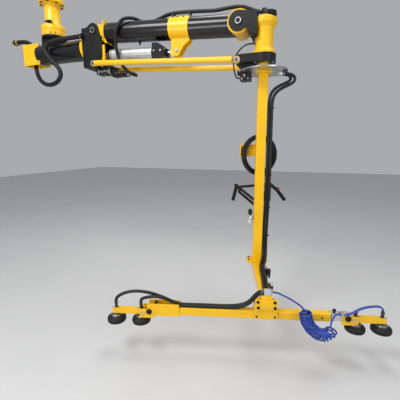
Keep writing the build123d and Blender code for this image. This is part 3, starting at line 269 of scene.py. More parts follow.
looks = {
    "yellow_paint": yellow, "black_paint": black_paint, "black_gloss": black_gloss, "bright_steel": steel,
    "disc_steel": disc_steel, "barrel_aluminium": alloy, "cup_rubber": rubber, "hose_rubber": hose_black,
    "spiral_blue": blue,
}
node_slots = {item["node"]: item["material_slot"] for item in frame["record"]["subparts"]}
for label, thing in nodes.items():
    thing.data.materials.clear()
    thing.data.materials.append(looks[node_slots[label]])


# Ways to make a piece
def finish_piece(made, name, look, body, slot=None, replaces=()):
    """Turns a bmesh into an object of the given finish that rides on a body."""
    bmesh.ops.recalc_face_normals(made, faces=made.faces)
    mesh = bpy.data.meshes.new(name)
    made.to_mesh(mesh)
    made.free()
    mesh.materials.append(look)
    mesh.shade_smooth()
    mesh.set_sharp_from_angle(angle=radians(35))
    piece = bpy.data.objects.new(name, mesh)
    scene.collection.objects.link(piece)
    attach(piece, body)
    if replaces:
        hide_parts(*replaces)
    return piece


def side_pair(axis):
    """Two directions square to an axis and to each other."""
    axis = axis.normalized()
    first = axis.orthogonal().normalized()
    return first, axis.cross(first)


def add_lathe(made, base, axis, profile, segments=48, lobes=0):
    """Adds a turned body: its profile pairs radii with distances along the axis, in millimetres."""
    axis = axis.normalized()
    first, second = side_pair(axis)
    rings = []
    for radius, along in profile:
        centre = base + axis * along * MM
        if radius < 1e-6:
            rings.append([made.verts.new(centre)])
            continue
        ring = []
        for k in range(segments):
            angle = 2 * pi * k / segments
            reach = radius * MM * (1 + (0.12 * cos(lobes * angle) if lobes else 0))
            ring.append(made.verts.new(centre + (first * cos(angle) + second * sin(angle)) * reach))
        rings.append(ring)
    for lower, upper in zip(rings, rings[1:]):
        for k in range(segments):
            corners = [lower[k % len(lower)], lower[(k + 1) % len(lower)],
                       upper[(k + 1) % len(upper)], upper[k % len(upper)]]
            unique = list(dict.fromkeys(corners))
            if len(unique) > 2:
                made.faces.new(unique)


def lathe(name, base, axis, profile, look, body, segments=48, **more):
    """One turned piece."""
    made = bmesh.new()
    add_lathe(made, base, axis, profile, segments)
    return finish_piece(made, name, look, body, **more)


def add_prism(made, base, axis, across, outline, length):
    """Adds an outline in millimetres, drawn across the axis, and run along it."""
    axis = axis.normalized()
    up = axis.cross(across).normalized()
    loops = []
    for along in (0.0, length):
        loops.append([
            made.verts.new(base + axis * along * MM + (across * u + up * v) * MM) for u, v in outline
        ])
    made.faces.new(loops[0])
    made.faces.new(list(reversed(loops[1])))
    count = len(outline)
    for k in range(count):
        made.faces.new([loops[0][k], loops[0][(k + 1) % count], loops[1][(k + 1) % count], loops[1][k]])


def rounded(width, height, radius, steps=4):
    """A rectangle with rounded corners, as an outline about its centre."""
    points = []
    for cx, cy, start in ((1, 1, 0), (-1, 1, 90), (-1, -1, 180), (1, -1, 270)):
        for k in range(steps + 1):
            angle = radians(start + 90 * k / steps)
            x = cx * (width / 2 - radius) + radius * cos(angle)
            y = cy * (height / 2 - radius) + radius * sin(angle)
            points.append((x, y))
    return points


def add_bolt(made, base, axis, size):
    """Adds a hexagon bolt head with its washer; the base lies on the surface."""
    axis = axis.normalized()
    first, _ = side_pair(axis)
    add_lathe(made, base, axis, [
        (0, 0), (size * 1.05, 0), (size * 1.05, size * 0.16), (0, size * 0.16)
    ], 20)
    hexagon = [(size * 0.92 * cos(radians(60 * k)), size * 0.92 * sin(radians(60 * k))) for k in range(6)]
    add_prism(made, base + axis * size * 0.16 * MM, axis, first, hexagon, size * 0.55)
    add_lathe(made, base + axis * size * 0.71 * MM, axis, [
        (size * 0.8, 0), (size * 0.7, size * 0.08), (0, size * 0.1)
    ], 20)


def bolts(name, places, axis, size, body, look=zinc):
    """Like bolts as one piece."""
    made = bmesh.new()
    for place in places:
        add_bolt(made, place, axis, size)
    return finish_piece(made, name, look, body)


def ring_places(centre, axis, radius, count, first_angle=0.0):
    """Places spread round an axis, in millimetres."""
    first, second = side_pair(axis)
    angles = [first_angle + 2 * pi * k / count for k in range(count)]
    return [centre + (first * cos(angle) + second * sin(angle)) * radius * MM for angle in angles]


def add_slab(made, place, spans, corner=2.0):
    """Adds a block with soft edges between two x, two y and two z of a frame."""
    solid = bmesh.new()
    bmesh.ops.create_cube(solid, size=1.0)
    for vert in solid.verts:
        vert.co = [(low + high) / 2 + unit * (high - low) for unit, (low, high) in zip(vert.co, spans)]
    bmesh.ops.bevel(solid, geom=list(solid.edges), offset=corner, segments=2, profile=0.5, affect="EDGES")
    for vert in solid.verts:
        vert.co = place(*vert.co)
    block = bpy.data.meshes.new("block")
    solid.to_mesh(block)
    solid.free()
    made.from_mesh(block)
    bpy.data.meshes.remove(block)


def slabs(name, place, boxes, look, body, corner=2.0, **more):
    """Blocks with soft edges as one piece."""
    made = bmesh.new()
    for spans in boxes:
        add_slab(made, place, spans, corner)
    return finish_piece(made, name, look, body, **more)


def rods(name, spans, look, body, segments=28, **more):
    """Round bars as one piece; each is a start, an end and a radius in millimetres."""
    made = bmesh.new()
    for start, end, radius in spans:
        length = (end - start).length / MM
        add_lathe(made, start, end - start, [
            (0, 0), (radius - 1, 0), (radius, 1), (radius, length - 1), (radius - 1, length), (0, length),
        ], segments)
    return finish_piece(made, name, look, body, **more)


def add_fitting(made, base, axis, size):
    """Adds a hexagon union with its round collar; the base lies on the surface."""
    first, _ = side_pair(axis.normalized())
    hexagon = [(size * cos(radians(60 * k)), size * sin(radians(60 * k))) for k in range(6)]
    add_prism(made, base, axis, first, hexagon, size * 0.8)
    add_lathe(made, base, axis, [
        (0, size * 0.8), (size * 0.78, size * 0.8), (size * 0.78, size * 1.1), (size * 0.95, size * 1.2),
        (size * 0.95, size * 1.6), (0, size * 1.6),
    ], 24)


def fittings(name, places, axis, size, look, body, **more):
    """Like unions as one piece."""
    made = bmesh.new()
    for place in places:
        add_fitting(made, place, axis, size)
    return finish_piece(made, name, look, body, **more)


def route_curve(name, points, diameter):
    """A smooth hose along its control points."""
    data = bpy.data.curves.new(name, "CURVE")
    data.dimensions = "3D"
    data.resolution_u = 10
    data.bevel_depth = diameter * MM / 2
    data.bevel_resolution = 5
    data.use_fill_caps = True
    spline = data.splines.new("NURBS")
    spline.points.add(len(points) - 1)
    for point, place in zip(spline.points, points):
        point.co = (*place, 1.0)
    spline.order_u = 3
    spline.use_endpoint_u = True
    curve = bpy.data.objects.new(name, data)
    scene.collection.objects.link(curve)
    return curve


def to_mesh_piece(curve, name, look):
    """The curve's surface as a mesh piece with no parent."""
    bpy.context.view_layer.update()
    shown = curve.evaluated_get(bpy.context.evaluated_depsgraph_get())
    mesh = bpy.data.meshes.new_from_object(shown)
    bpy.data.objects.remove(curve)
    mesh.materials.clear()
    mesh.materials.append(look)
    mesh.shade_smooth()
    mesh.set_sharp_from_angle(angle=radians(50))
    piece = bpy.data.objects.new(name, mesh)
    scene.collection.objects.link(piece)
    return piece


def hose(name, points, diameter, node, body=None, bend=None, look=hose_black):
    """A hose that stands for its node; when bend is given, the hose is left in place with no body, and
    the bodies and stretch held in bend are not used.
    """
    piece = to_mesh_piece(route_curve(name + "_route", points, diameter), name, look)
    if bend:
        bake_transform(piece)
    else:
        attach(piece, body)
    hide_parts(node)
    return piece


def path(place, points):
    """A route's points, each placed in one of the frames."""
    return [place(*point) for point in points]


def centre_line(points):
    """The smooth line through a route's control points."""
    curve = route_curve("line", points, 0.0)
    curve.data.bevel_depth = 0.0
    bpy.context.view_layer.update()
    mesh = bpy.data.meshes.new_from_object(curve.evaluated_get(bpy.context.evaluated_depsgraph_get()))
    line = [v.co.copy() for v in mesh.vertices]
    bpy.data.objects.remove(curve)
    return line


# Levels and places that the hoses and the pieces share
HEAD_TOP = P2[1] + 37.0
DISC_GAP, DISC_T = 58.0, 8.0
FLANGE_T, MAST_LENGTH, FOOT_T = 14.0, 1623.0, 25.0
BRACKET_X, BRACKET_Z = P2[0] + 98.0, HEAD_TOP + 16.0 - 236.0
RIM_X = SWIVEL_X - 205.0
DISC_TOP = HEAD_TOP - 287.0 - 67.0 - DISC_GAP
FLANGE_TOP = DISC_TOP - DISC_T
CALIPER_Z = FLANGE_TOP - 5.0 - 57.0
MAST_TOP = FLANGE_TOP - FLANGE_T
MAST_BOTTOM = MAST_TOP - MAST_LENGTH
FORWARD_TOP = MAST_BOTTOM - FOOT_T
BEAM_TOP = FORWARD_TOP - MAST_SIDE - 14.0 - 48.0
BEAM_MID = BEAM_TOP - BEAM_SIDE / 2
FITTING_TOP = BEAM_MID + BAR_SIDE / 2 + 30.0
LEFT_PIVOT, RIGHT_PIVOT = -866.0, 590.0
LEFT_CUPS = (LEFT_PIVOT - 267.0, LEFT_PIVOT - 72.0)
RIGHT_CUPS = (RIGHT_PIVOT + 66.0, RIGHT_PIVOT + 252.0)
ELBOW_X, ELBOW_Z = P3[0] - 110.0, P1[1] + 38.0 - 82.0
VALVE_Z = (P3[1] - 22.0 - 10.0) - 30.0 - 25.0
SEAT = ARM_TUBE_R + 15.3
CLIP = COLLAR_R + 38.0
CAP_TOP = HEAD_TOP + 34.0
CAP_X = SWIVEL_X + 25.0
GLAND = row(CAP_X - 50.0, 0, CAP_TOP + 15.0)
INLET_Z = -336.0
ELBOW_HALF = 24.0
ELBOW_Y = -CHEEK_INNER - ELBOW_HALF
SUPPLY_D, CONDUIT_D, BRAKE_LINE_D = 42.0, 30.0, 12.0
MAST_HOSE_D, LEFT_HOSE_D, STRAND_D = 25.0, 24.0, 11.0

# Hoses: the routes follow the model's, with some points moved where the photograph shows more
hose("supply_hose_look", path(row, [
    (-490, 0, INLET_Z), (-438, 0, INLET_Z), (-368, 0, -346), (-308, -2, -384), (-280, -4, -448),
    (-273, -6, -530), (-268, -14, -610), (-240, -30, -680), (-185, -58, -745), (-110, -88, -797),
    (-20, -112, -826), (72, -132, -828), (146, -140, -800), (182, -141, -744), (160, -141, -680),
    (92, -141, -618), (26, -141, -556), (-6, -137, -492), (22, -131, -442), (100, -129, -424),
    (220, -130, -417), (ELBOW_X - 130, ELBOW_Y, ELBOW_Z), (ELBOW_X - ELBOW_HALF, ELBOW_Y, ELBOW_Z),
]), SUPPLY_D, "supply_hose", body="base_arm", look=conduit_black)
hose("arm_hose_look", path(arm, [
    (487, 50, SEAT - 10), (567, 48, SEAT - 8), (640, 30, SEAT + 6), (760, 0, CLIP), (975, 0, CLIP),
    (1080, 1, CLIP - 4), (1175, 1, CLIP - 7), (1262, -2, CLIP + 2), (1345, 1, CLIP + 11),
    (1425, 0, CLIP + 6),
]) + [GLAND - X_ROW * 0.042, GLAND], CONDUIT_D, "arm_hose",
     bend=(("lift_arm", "head"), row(1840, 0, -310), row(2085, 0, -370)), look=conduit_black)
hose("lift_cable_look", [arm(487, 50, SEAT - 10), arm(440, 44, SEAT - 6)] + path(row, [
    (960, 6, -276), (918, -46, -283), (878, -94, -309), (842, -114, -364), (812, -113, -430),
    (800, -96, -490), (800, -85, -556), (814, -84, -622), (846, -83, -686), (888, -82, -740),
    (932, -72, -774), (964, -38, -785), (956, -2, -778), (918, 0, VALVE_Z - 3), (880, 0, VALVE_Z),
]), CONDUIT_D, "lift_cable", bend=(("base_arm", "lift_arm"), row(830, -80, -700), row(820, -105, -390)),
     look=conduit_black)
hose("brake_line_look", path(row, [
    (SWIVEL_X - 60, -46, BRACKET_Z + 12), (BRACKET_X + 20, -56, BRACKET_Z + 14),
    (BRACKET_X - 28, -60, BRACKET_Z + 12), (BRACKET_X - 66, -59, BRACKET_Z - 4),
    (BRACKET_X - 104, -57, BRACKET_Z - 38), (BRACKET_X - 132, -55, BRACKET_Z - 84),
    (BRACKET_X - 141, -53, BRACKET_Z - 138), (BRACKET_X - 132, -48, BRACKET_Z - 190),
    (RIM_X - 18, -40, CALIPER_Z + 34), (RIM_X - 8, -32, CALIPER_Z + 20),
    (RIM_X + 18, -32, CALIPER_Z + 20),
]), BRAKE_LINE_D, "brake_line", body="head")
PORT_Y = 14.0
RUN_OUTER_X, RUN_INNER_X = 16.0, -9.0
RUN_Z = FORWARD_TOP + 12.3
TEE_BACK = BEAM_Y - 18.0
TEE_MID = FORWARD_TOP + 19.0
TEE_OUTER_Y, TEE_INNER_Y, TEE_SIDE_Y = BEAM_Y - 30.0, BEAM_Y - 54.0, -640.0
hose("mast_hose_outer_look", path(tool, [
    (152, -PORT_Y, -856), (216, -PORT_Y, -856), (262, -14, -884), (256, -13, -924), (206, -12, -950),
    (148, -11, -976), (104, -10, -1012), (86, -9, -1062), (82, -8, -1120), (84, -8, -1230),
    (85, -9, -1430), (87, -8, -1690), (86, -9, -1930), (81, -8, -2130), (78, -9, -2270),
    (79, -12, -2370), (78, -34, -2432), (66, -78, -2464), (46, -134, RUN_Z), (35, -240, RUN_Z),
    (29, -400, RUN_Z), (21, -510, RUN_Z), (16, -566, RUN_Z), (RUN_OUTER_X, TEE_BACK, RUN_Z),
]), MAST_HOSE_D, "mast_hoses", body="tool")
hose("mast_hose_inner_look", path(tool, [
    (152, PORT_Y, -857), (208, PORT_Y, -857), (234, 11, -886), (220, 8, -914), (174, 3, -934),
    (118, -3, -960), (76, -7, -1000), (60, -8, -1054), (57, -8, -1116), (59, -8, -1232),
    (60, -9, -1432), (62, -8, -1692), (61, -9, -1932), (55, -8, -2132), (53, -9, -2272),
    (54, -11, -2368), (53, -34, -2430), (41, -78, -2464), (19, -134, RUN_Z), (9, -242, RUN_Z),
    (4, -402, RUN_Z), (-5, -512, RUN_Z), (-9, -568, RUN_Z), (RUN_INNER_X, TEE_BACK, RUN_Z),
]), MAST_HOSE_D, "mast_hoses", body="tool")
PAIR_Z = BEAM_TOP + 11.3
hose("left_hose_outer_look", path(tool, [
    (-22, TEE_OUTER_Y, TEE_MID), (-44, TEE_OUTER_Y, TEE_MID), (-74, -612, -2520), (-106, -592, -2578),
    (-150, -588, -2612), (-214, -587, -2628), (-300, -589, PAIR_Z), (-430, -587, PAIR_Z),
    (-550, -589, PAIR_Z), (-640, -588, PAIR_Z), (-705, -588, -2610), (-780, -587, -2576),
    (-870, -588, -2548), (-960, -590, -2536), (-1040, -594, -2544), (-1098, -598, -2568),
    (LEFT_CUPS[0], BEAM_Y, -2598), (LEFT_CUPS[0], BEAM_Y, FITTING_TOP),
]), LEFT_HOSE_D, "left_hoses",
     bend=(("tool", "left_cups"), tool(-900, -588, -2620), tool(-1100, -588, -2620)))
hose("left_hose_inner_look", path(tool, [
    (-22, TEE_INNER_Y, TEE_MID), (-44, TEE_INNER_Y, TEE_MID), (-76, -638, -2522), (-108, -620, -2580),
    (-156, -612, -2616), (-220, -613, -2630), (-306, -611, PAIR_Z), (-434, -613, PAIR_Z),
    (-540, -611, PAIR_Z), (-620, -612, PAIR_Z), (-680, -611, -2610), (-742, -611, -2580),
    (-808, -613, -2564), (-872, -611, -2571), (-920, -605, -2587), (LEFT_CUPS[1], BEAM_Y, -2604),
    (LEFT_CUPS[1], BEAM_Y, FITTING_TOP),
]), LEFT_HOSE_D, "left_hoses",
     bend=(("tool", "left_cups"), tool(-820, -588, -2620), tool(-930, -588, -2620)))
SLIDE_TOP = BEAM_MID + 25.5
STRAND_SHIFT = 5.6
STRAND_X, STRAND_Y, STRAND_Z = 536.0, BEAM_Y - 51.0, SLIDE_TOP + 18.0
for strand, shift in enumerate((-STRAND_SHIFT, STRAND_SHIFT)):
    hose(f"right_line_look_{strand}", [tool(x, y + shift, z) for x, y, z in [
        (STRAND_X + 12, STRAND_Y, STRAND_Z), (576, STRAND_Y, STRAND_Z), (618, -642, -2618),
        (664, -626, -2598), (722, -612, -2588), (782, -603, -2584), (822, BEAM_Y, -2588),
        (RIGHT_CUPS[1], BEAM_Y, -2606), (RIGHT_CUPS[1], BEAM_Y, FITTING_TOP),
    ]], STRAND_D, "right_cup_hose",
         bend=(("right_slide", "right_cups"), tool(600, -620, -2620), tool(800, -620, -2620)),
         look=blue)

# The curled blue line: one strand that winds round the curl's middle line between two leads
CURL_TURNS, CURL_R, CURL_STRAND = 21, 40.5, 12.5
curl_axis = centre_line(path(tool, [
    (262, -700, -2583), (268, -701, -2628), (288, -702, -2688), (331, -703, -2736), (376, -703, -2764),
    (416, -702, -2766), (446, -701, -2744), (446, -700, -2708),
]))
lead_in = centre_line(path(tool, [
    (33, TEE_SIDE_Y, TEE_MID), (70, TEE_SIDE_Y, TEE_MID), (112, -646, -2500), (156, -654, -2518),
    (204, -668, -2542), (242, -684, -2563), (262, -700, -2583),
]))
lead_out = centre_line(path(tool, [
    (446, -700, -2708), (446, -692, -2690), (462, -676, -2664), (488, STRAND_Y, STRAND_Z - 6),
    (510, STRAND_Y, STRAND_Z), (STRAND_X - 12, STRAND_Y, STRAND_Z),
]))


def helix(line, turns, radius, per_turn=14):
    """Points that wind round a line, swelling in and out at its two ends."""
    lengths = [0.0]
    for a, b in zip(line, line[1:]):
        lengths.append(lengths[-1] + (b - a).length)
    total = lengths[-1]
    count = int(turns * per_turn)
    points = []
    normal = Vector((0, 1, 0))
    spot = 0
    for k in range(count + 1):
        share = k / count
        along = share * total
        while spot < len(line) - 2 and lengths[spot + 1] < along:
            spot += 1
        piece = (along - lengths[spot]) / max(1e-9, lengths[spot + 1] - lengths[spot])
        centre = line[spot].lerp(line[spot + 1], piece)
        tangent = (line[spot + 1] - line[spot]).normalized()
        normal = (normal - tangent * normal.dot(tangent)).normalized()
        other = tangent.cross(normal)
        angle = 2 * pi * turns * share
        swell = min(1.0, share * 18, (1 - share) * 18)
        reach = radius * MM * swell * (1 + 0.03 * sin(5.1 * angle / 7))
        points.append(centre + (normal * cos(angle) + other * sin(angle)) * reach)
    return points


spiral = route_curve(
    "spiral_route", lead_in[:-1] + helix(curl_axis, CURL_TURNS, CURL_R) + lead_out[1:], CURL_STRAND
)
spiral.data.resolution_u = 3
spiral.data.bevel_resolution = 3
spiral_piece = to_mesh_piece(spiral, "spiral_look", blue)
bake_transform(spiral_piece)
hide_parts("spiral_hose")

# The cable coiled on its hanger: turns that differ a little and lie over each other
COIL_X, COIL_Y, COIL_Z = 5.0, 130.0, -1527.0
COIL_HALF_W, COIL_HALF_H, COIL_BAND = 164.0, 193.0, 27.0
COIL_TURNS, PER_TURN, COIL_STRAND = 11, 28, 12.5
coil = []
for k in range(COIL_TURNS * PER_TURN + 1):
    angle = 2 * pi * k / PER_TURN - pi / 2
    turn = k / PER_TURN
    reach = 20 * sin(turn * 2.4) + 4 * sin(turn * 5.7 + 1)
    depth = 17 * cos(turn * 3.3) + 3 * sin(angle * 2 + turn)
    coil.append(tool(
        COIL_X + (COIL_HALF_W - COIL_BAND + reach * 0.85) * cos(angle), COIL_Y + depth,
        COIL_Z + (COIL_HALF_H - COIL_BAND + reach * 0.85) * sin(angle),
    ))
coil_route = route_curve("coil_route", coil, COIL_STRAND)
coil_route.data.resolution_u = 3
coil_route.data.bevel_resolution = 2
coil_piece = to_mesh_piece(coil_route, "hose_coil_look", hose_black)
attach(coil_piece, "tool")
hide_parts("hose_coil")

# Cup bars and suction cups: a channel with two ears, flat rubber cups, and a union for the hose over each
BAR_LOW, BAR_HIGH = BEAM_MID - 36.0, BEAM_MID - 36.0 + BAR_SIDE
EAR_T = 6.0


def side_plate(made, x, z, outline, y_back, thick):
    """Adds a plate drawn along the beam and upward, from its far face towards the near side."""
    add_prism(made, tool(x, y_back, z), -Y_TOOL, X_TOOL, outline, thick)


def bar_pieces(tag, body, pivot, side, half_gap, reach, xs):
    """One cup bar with its cups, bolts and unions; side is -1 for the left bar."""
    bar, cups = f"{tag}_cup_bar", f"{tag}_suction_cups"
    made = bmesh.new()
    side_plate(made, pivot + side * (44 + reach) / 2, (BAR_LOW + BAR_HIGH) / 2,
               rounded(reach - 44, BAR_SIDE, 12), BEAM_Y + BAR_SIDE / 2, BAR_SIDE)
    for y_back in (BEAM_Y + half_gap + EAR_T, BEAM_Y - half_gap):
        side_plate(made, pivot + side * 15, BEAM_MID - 17, rounded(114, 69, 14), y_back, EAR_T)
    near, far = sorted((pivot + side * 44, pivot + side * 72))
    add_slab(made, tool, ((near, far), (BEAM_Y - half_gap, BEAM_Y + half_gap), (BAR_LOW, BAR_HIGH)), 1.0)
    finish_piece(made, f"{bar}_look", yellow, body, slot="yellow_paint", replaces=(bar,))
    face = BEAM_Y - half_gap - EAR_T
    made = bmesh.new()
    add_lathe(made, tool(pivot, face, BEAM_MID), -Y_TOOL, [
        (0, 0), (22, 0), (22, 3), (18, 4), (18, 11), (16, 13), (9, 13), (8, 9), (0, 9),
    ], 40)
    add_lathe(made, tool(pivot, BEAM_Y + half_gap + EAR_T, BEAM_MID), Y_TOOL,
              [(0, 0), (18, 0), (18, 9), (0, 11)], 32)
    finish_piece(made, f"{tag}_pivot_bolt", plastic, body, replaces=(bar,))
    bolts(f"{tag}_ear_bolts", [
        tool(pivot + side * x, face, BEAM_MID + z) for x, z in ((38, -8), (58, -8), (48, -30))
    ], -Y_TOOL, 6, body)
    for number, x in enumerate(xs):
        base, down = tool(x, BEAM_Y, BAR_LOW), -Z_UP
        lathe(f"{tag}_bell_{number}", base, down, [
            (15, 12), (26, 15), (39, 18), (46, 22), (49, 27), (53, 29), (61, 32), (67, 36), (70.5, 42),
            (71, 47), (70.2, 50), (71, 53), (70.2, 57), (70.8, 61), (68, 68.4), (65, 68.8), (61, 64),
            (52, 54), (41, 48), (30, 46), (0, 46),
        ], rubber, body, segments=64, slot="cup_rubber", replaces=(cups,))
        made = bmesh.new()
        add_fitting(made, base, down, 15)
        add_lathe(made, base, down, [
            (0, 9), (23, 9), (32, 11), (40, 15), (42.5, 19), (42.5, 22), (30, 22), (0, 20)
        ], 48)
        finish_piece(made, f"{tag}_hub_{number}", hub_steel, body, replaces=(cups,))
        top = tool(x, BEAM_Y, BAR_HIGH)
        made = bmesh.new()
        hexagon = [(13 * cos(radians(60 * k)), 13 * sin(radians(60 * k))) for k in range(6)]
        add_prism(made, top, Z_UP, X_TOOL, hexagon, 14)
        add_lathe(made, top, Z_UP, [
            (0, 14), (9, 14), (9, 24), (12.6, 26), (12.8, 43), (11, 46), (0, 46)
        ], 32)
        finish_piece(made, f"{tag}_fitting_{number}", dark_steel, body, replaces=(cups,))
        seats = [tool(x + dx, BEAM_Y - 9, BAR_HIGH) for dx in (-22, 22)]
        bolts(f"{tag}_cup_bolts_{number}", seats, Z_UP, 6, body)


bar_pieces("left", "left_cups", LEFT_PIVOT, -1, 36.8, 292, LEFT_CUPS)
bar_pieces("right", "right_cups", RIGHT_PIVOT, 1, 26.0, 276, RIGHT_CUPS)

# Fixed swivel housing with its bolts, its lock and the fittings on its near side
SPOOL_H = 343.0
FLANGE_LOW, FOOT_HIGH, RIM_Z, RIM_R = -34.0, -240.0, -326.0, 114.5
lathe("base_spool_look", row(0, 0, 0), -Z_UP, [
    (0, 0), (119, 0), (121, 2), (121, 32), (119, 34), (90, 34), (80, 38), (75.5, 47), (75, 58),
    (75, 222), (79, 229), (104, 238), (113, 244), (115, 250), (115, 284), (110, 285), (110, 291),
    (115, 292), (115, 341), (113, SPOOL_H), (0, SPOOL_H),
], yellow, "mount", segments=72, slot="yellow_paint", replaces=("base_spool",))
bolts("flange_nuts", ring_places(row(0, 0, FLANGE_LOW), Z_UP, 105, 8, pi / 8), -Z_UP, 10, "mount",
      look=dark_steel)
bolts("foot_bolts", ring_places(row(0, 0, FOOT_HIGH), Z_UP, 97, 12), Z_UP, 7, "mount")
made = bmesh.new()
for k in range(14):
    angle = 2 * pi * k / 14 + 0.2
    outward = Vector((cos(angle), sin(angle), 0))
    add_bolt(made, row(0, 0, RIM_Z) + outward * RIM_R * MM, outward, 7)
finish_piece(made, "foot_rim_bolts", zinc, "mount")
LOCK_Z = -226.0
rods("swivel_lock", [
    (row(36, -60, LOCK_Z), row(36, -104, LOCK_Z), 17), (row(36, -104, LOCK_Z), row(36, -118, LOCK_Z), 11),
    (row(6, -112, LOCK_Z), row(84, -112, LOCK_Z), 8),
], plastic, "mount")
fittings("foot_unions", [
    row(52, -101, -318), row(84, -78, -318)
], Vector((0.55, -0.83, 0)), 9, brass, "mount")

# Coupling at the hose's inlet and its elbow on the clevis
lathe("inlet_rings", row(-580, 0, INLET_Z), X_ROW, [
    (0, 2), (14, 2), (16, 4), (16, 16), (22, 17), (22, 28), (19, 30), (19, 36), (25, 38), (25, 58),
    (28, 60), (28, 66), (25, 67), (25, 82), (28, 83), (28, 89.5), (0, 89.5),
], brass, "base_arm", replaces=("supply_coupling",))
lathe("inlet_collar", row(-542, 0, INLET_Z), X_ROW, [
    (0, 0), (27, 0), (30, 3), (30, 17), (27, 20), (0, 20)
], plastic, "base_arm", replaces=("supply_coupling",))
slabs("elbow_look", row, [
    ((ELBOW_X - ELBOW_HALF, ELBOW_X), (ELBOW_Y - ELBOW_HALF, -CHEEK_INNER),
     (ELBOW_Z - ELBOW_HALF, ELBOW_Z + ELBOW_HALF))
], plastic, "base_arm", corner=7, replaces=("supply_coupling",))
bolts("elbow_bolts", [
    row(ELBOW_X - ELBOW_HALF / 2, ELBOW_Y - ELBOW_HALF, ELBOW_Z + dz) for dz in (-14, 14)
], -Y_ROW, 5, "base_arm")

# Valve manifold under the clevis
MANIFOLD_TOP, MANIFOLD_LOW = P3[1] - 32.0, P3[1] - 84.0
PORT_Z = MANIFOLD_TOP - 27.0
PORT_PITCH, VALVE_PITCH = 31.0, 34.0
slabs("manifold_plate_look", row, [
    ((P3[0] - 60, P3[0] + 175), (-60, 60), (MANIFOLD_TOP, P3[1] - 22))
], black_paint, "base_arm", slot="black_paint", replaces=("valve_manifold",))
slabs("manifold_body_look", row, [
    ((P3[0] - 30, P3[0] + 140), (-46, 46), (MANIFOLD_LOW, MANIFOLD_TOP)),
    ((P3[0] + 140, P3[0] + 176), (-40, 40), (VALVE_Z - 25, MANIFOLD_TOP)),
], black_paint, "base_arm", corner=4, replaces=("valve_manifold",))
slabs("valve_coils", row, [
    ((P3[0] + 178 + VALVE_PITCH * k, P3[0] + 208 + VALVE_PITCH * k),
     (-38 + 4 * (k % 2), 38 - 4 * (k % 2)), (VALVE_Z - 24, VALVE_Z + 24)) for k in range(4)
], plastic, "base_arm", corner=4, replaces=("valve_manifold",))
slabs("valve_ends", row, [
    ((P3[0] + 312, P3[0] + 320), (-30, 30), (VALVE_Z - 22, VALVE_Z + 22)),
    ((P3[0] + 118, P3[0] + 126), (-50, 50), (P3[1] - 80, P3[1] - 34)),
    ((P3[0] - 8, P3[0]), (-50, 50), (P3[1] - 80, P3[1] - 34)),
], alloy, "base_arm", corner=1.5, replaces=("valve_manifold",))
fittings("manifold_ports", [
    row(P3[0] + 16 + PORT_PITCH * k, -46, PORT_Z - 6 * (k % 2)) for k in range(4)
], -Y_ROW, 12, zinc, "base_arm", replaces=("valve_manifold",))
fittings("valve_ports", [
    row(P3[0] + 193 + VALVE_PITCH * k, -36, VALVE_Z + 4) for k in range(4)
], -Y_ROW, 7, brass, "base_arm", replaces=("valve_manifold",))
bolts("manifold_bolts", [
    row(P3[0] + x, -38 * side, MANIFOLD_LOW) for x in (-10, 60, 126) for side in (-1, 1)
], -Z_UP, 6, "base_arm")

# Balancing cylinder: end rings and ports
EAR_X, EAR_DROP = 846.0, 188.0
CYL_REAR = row(P1[0] + 52.0, 0, P1[1] - 205.0)
EAR = arm(EAR_X, 0, -EAR_DROP)
ALONG_CYL = (EAR - CYL_REAR).normalized()
UP_CYL = -Y_ROW.cross(ALONG_CYL)
made = bmesh.new()
for start, end in ((71, 86), (98, 103), (533, 547.5)):
    add_lathe(made, CYL_REAR, ALONG_CYL, [(54, start), (57.5, start + 1), (57.5, end - 1), (54, end)], 56)
finish_piece(made, "barrel_rings", dark_steel, "cylinder")
fittings("head_ports", [
    CYL_REAR + ALONG_CYL * x * MM - Y_ROW * 0.070 for x in (575, 640)
], -Y_ROW, 9, zinc, "cylinder")
bolts("head_bolts", [
    CYL_REAR + (ALONG_CYL * (548 + 119) + UP_CYL * up - Y_ROW * across) * MM for up in (-54, 18)
    for across in (-54, 54)
], ALONG_CYL, 8, "cylinder")

# Bolts of the tubes, the collar and the pivots
bolts("base_flange_bolts", [
    row(423, 0, -500) + (Y_ROW * cos(a) + Z_UP * sin(a)) * 0.101
    for a in [pi * (k + 0.5) / 6 for k in range(12)] if abs(cos(a)) * 101 > 97
], X_ROW, 5, "base_arm")
bolts("chute_bolts", [row(x, -72, z) for x in (-172, -160) for z in (-420, -580)], -Y_ROW, 5, "base_arm")
made = bmesh.new()
for x in (800, 850, 905):
    for tilt in (-38, 38):
        outward = (Z_ARM * cos(radians(tilt)) + Y_ROW * sin(radians(tilt))).normalized()
        add_bolt(made, arm(x, 0, 0) + outward * COLLAR_R * MM, outward, 8)
finish_piece(made, "collar_bolts", dark_steel, "lift_arm")
bolts("collar_pin_bolts", [arm(EAR_X, -42, -EAR_DROP)], -Y_ROW, 15, "lift_arm")
for tag, centre, body in (("base", P1, "base_arm"), ("head", P2, "head")):
    made = bmesh.new()
    for side in (-1, 1):
        add_lathe(made, row(centre[0], side * 100, centre[1]), Y_ROW * side, [
            (0, 0), (18, 0), (18, 9), (15, 11), (8, 11), (7, 8), (0, 8),
        ], 32)
        add_lathe(made, row(centre[0], side * 100, centre[1]), Y_ROW * side, [
            (33.3, 7.2), (33.4, 13), (32.4, 14), (25, 14), (24.9, 13.05),
        ], 40)
    finish_piece(made, f"{tag}_pin_caps", plastic, body)
LINK_FACE = -138.2
for tag, centre, body in (("base", P3, "base_arm"), ("head", P4, "head")):
    bolts(f"{tag}_link_bolts", [row(centre[0], LINK_FACE, centre[1])], -Y_ROW, 9, body, look=dark_steel)

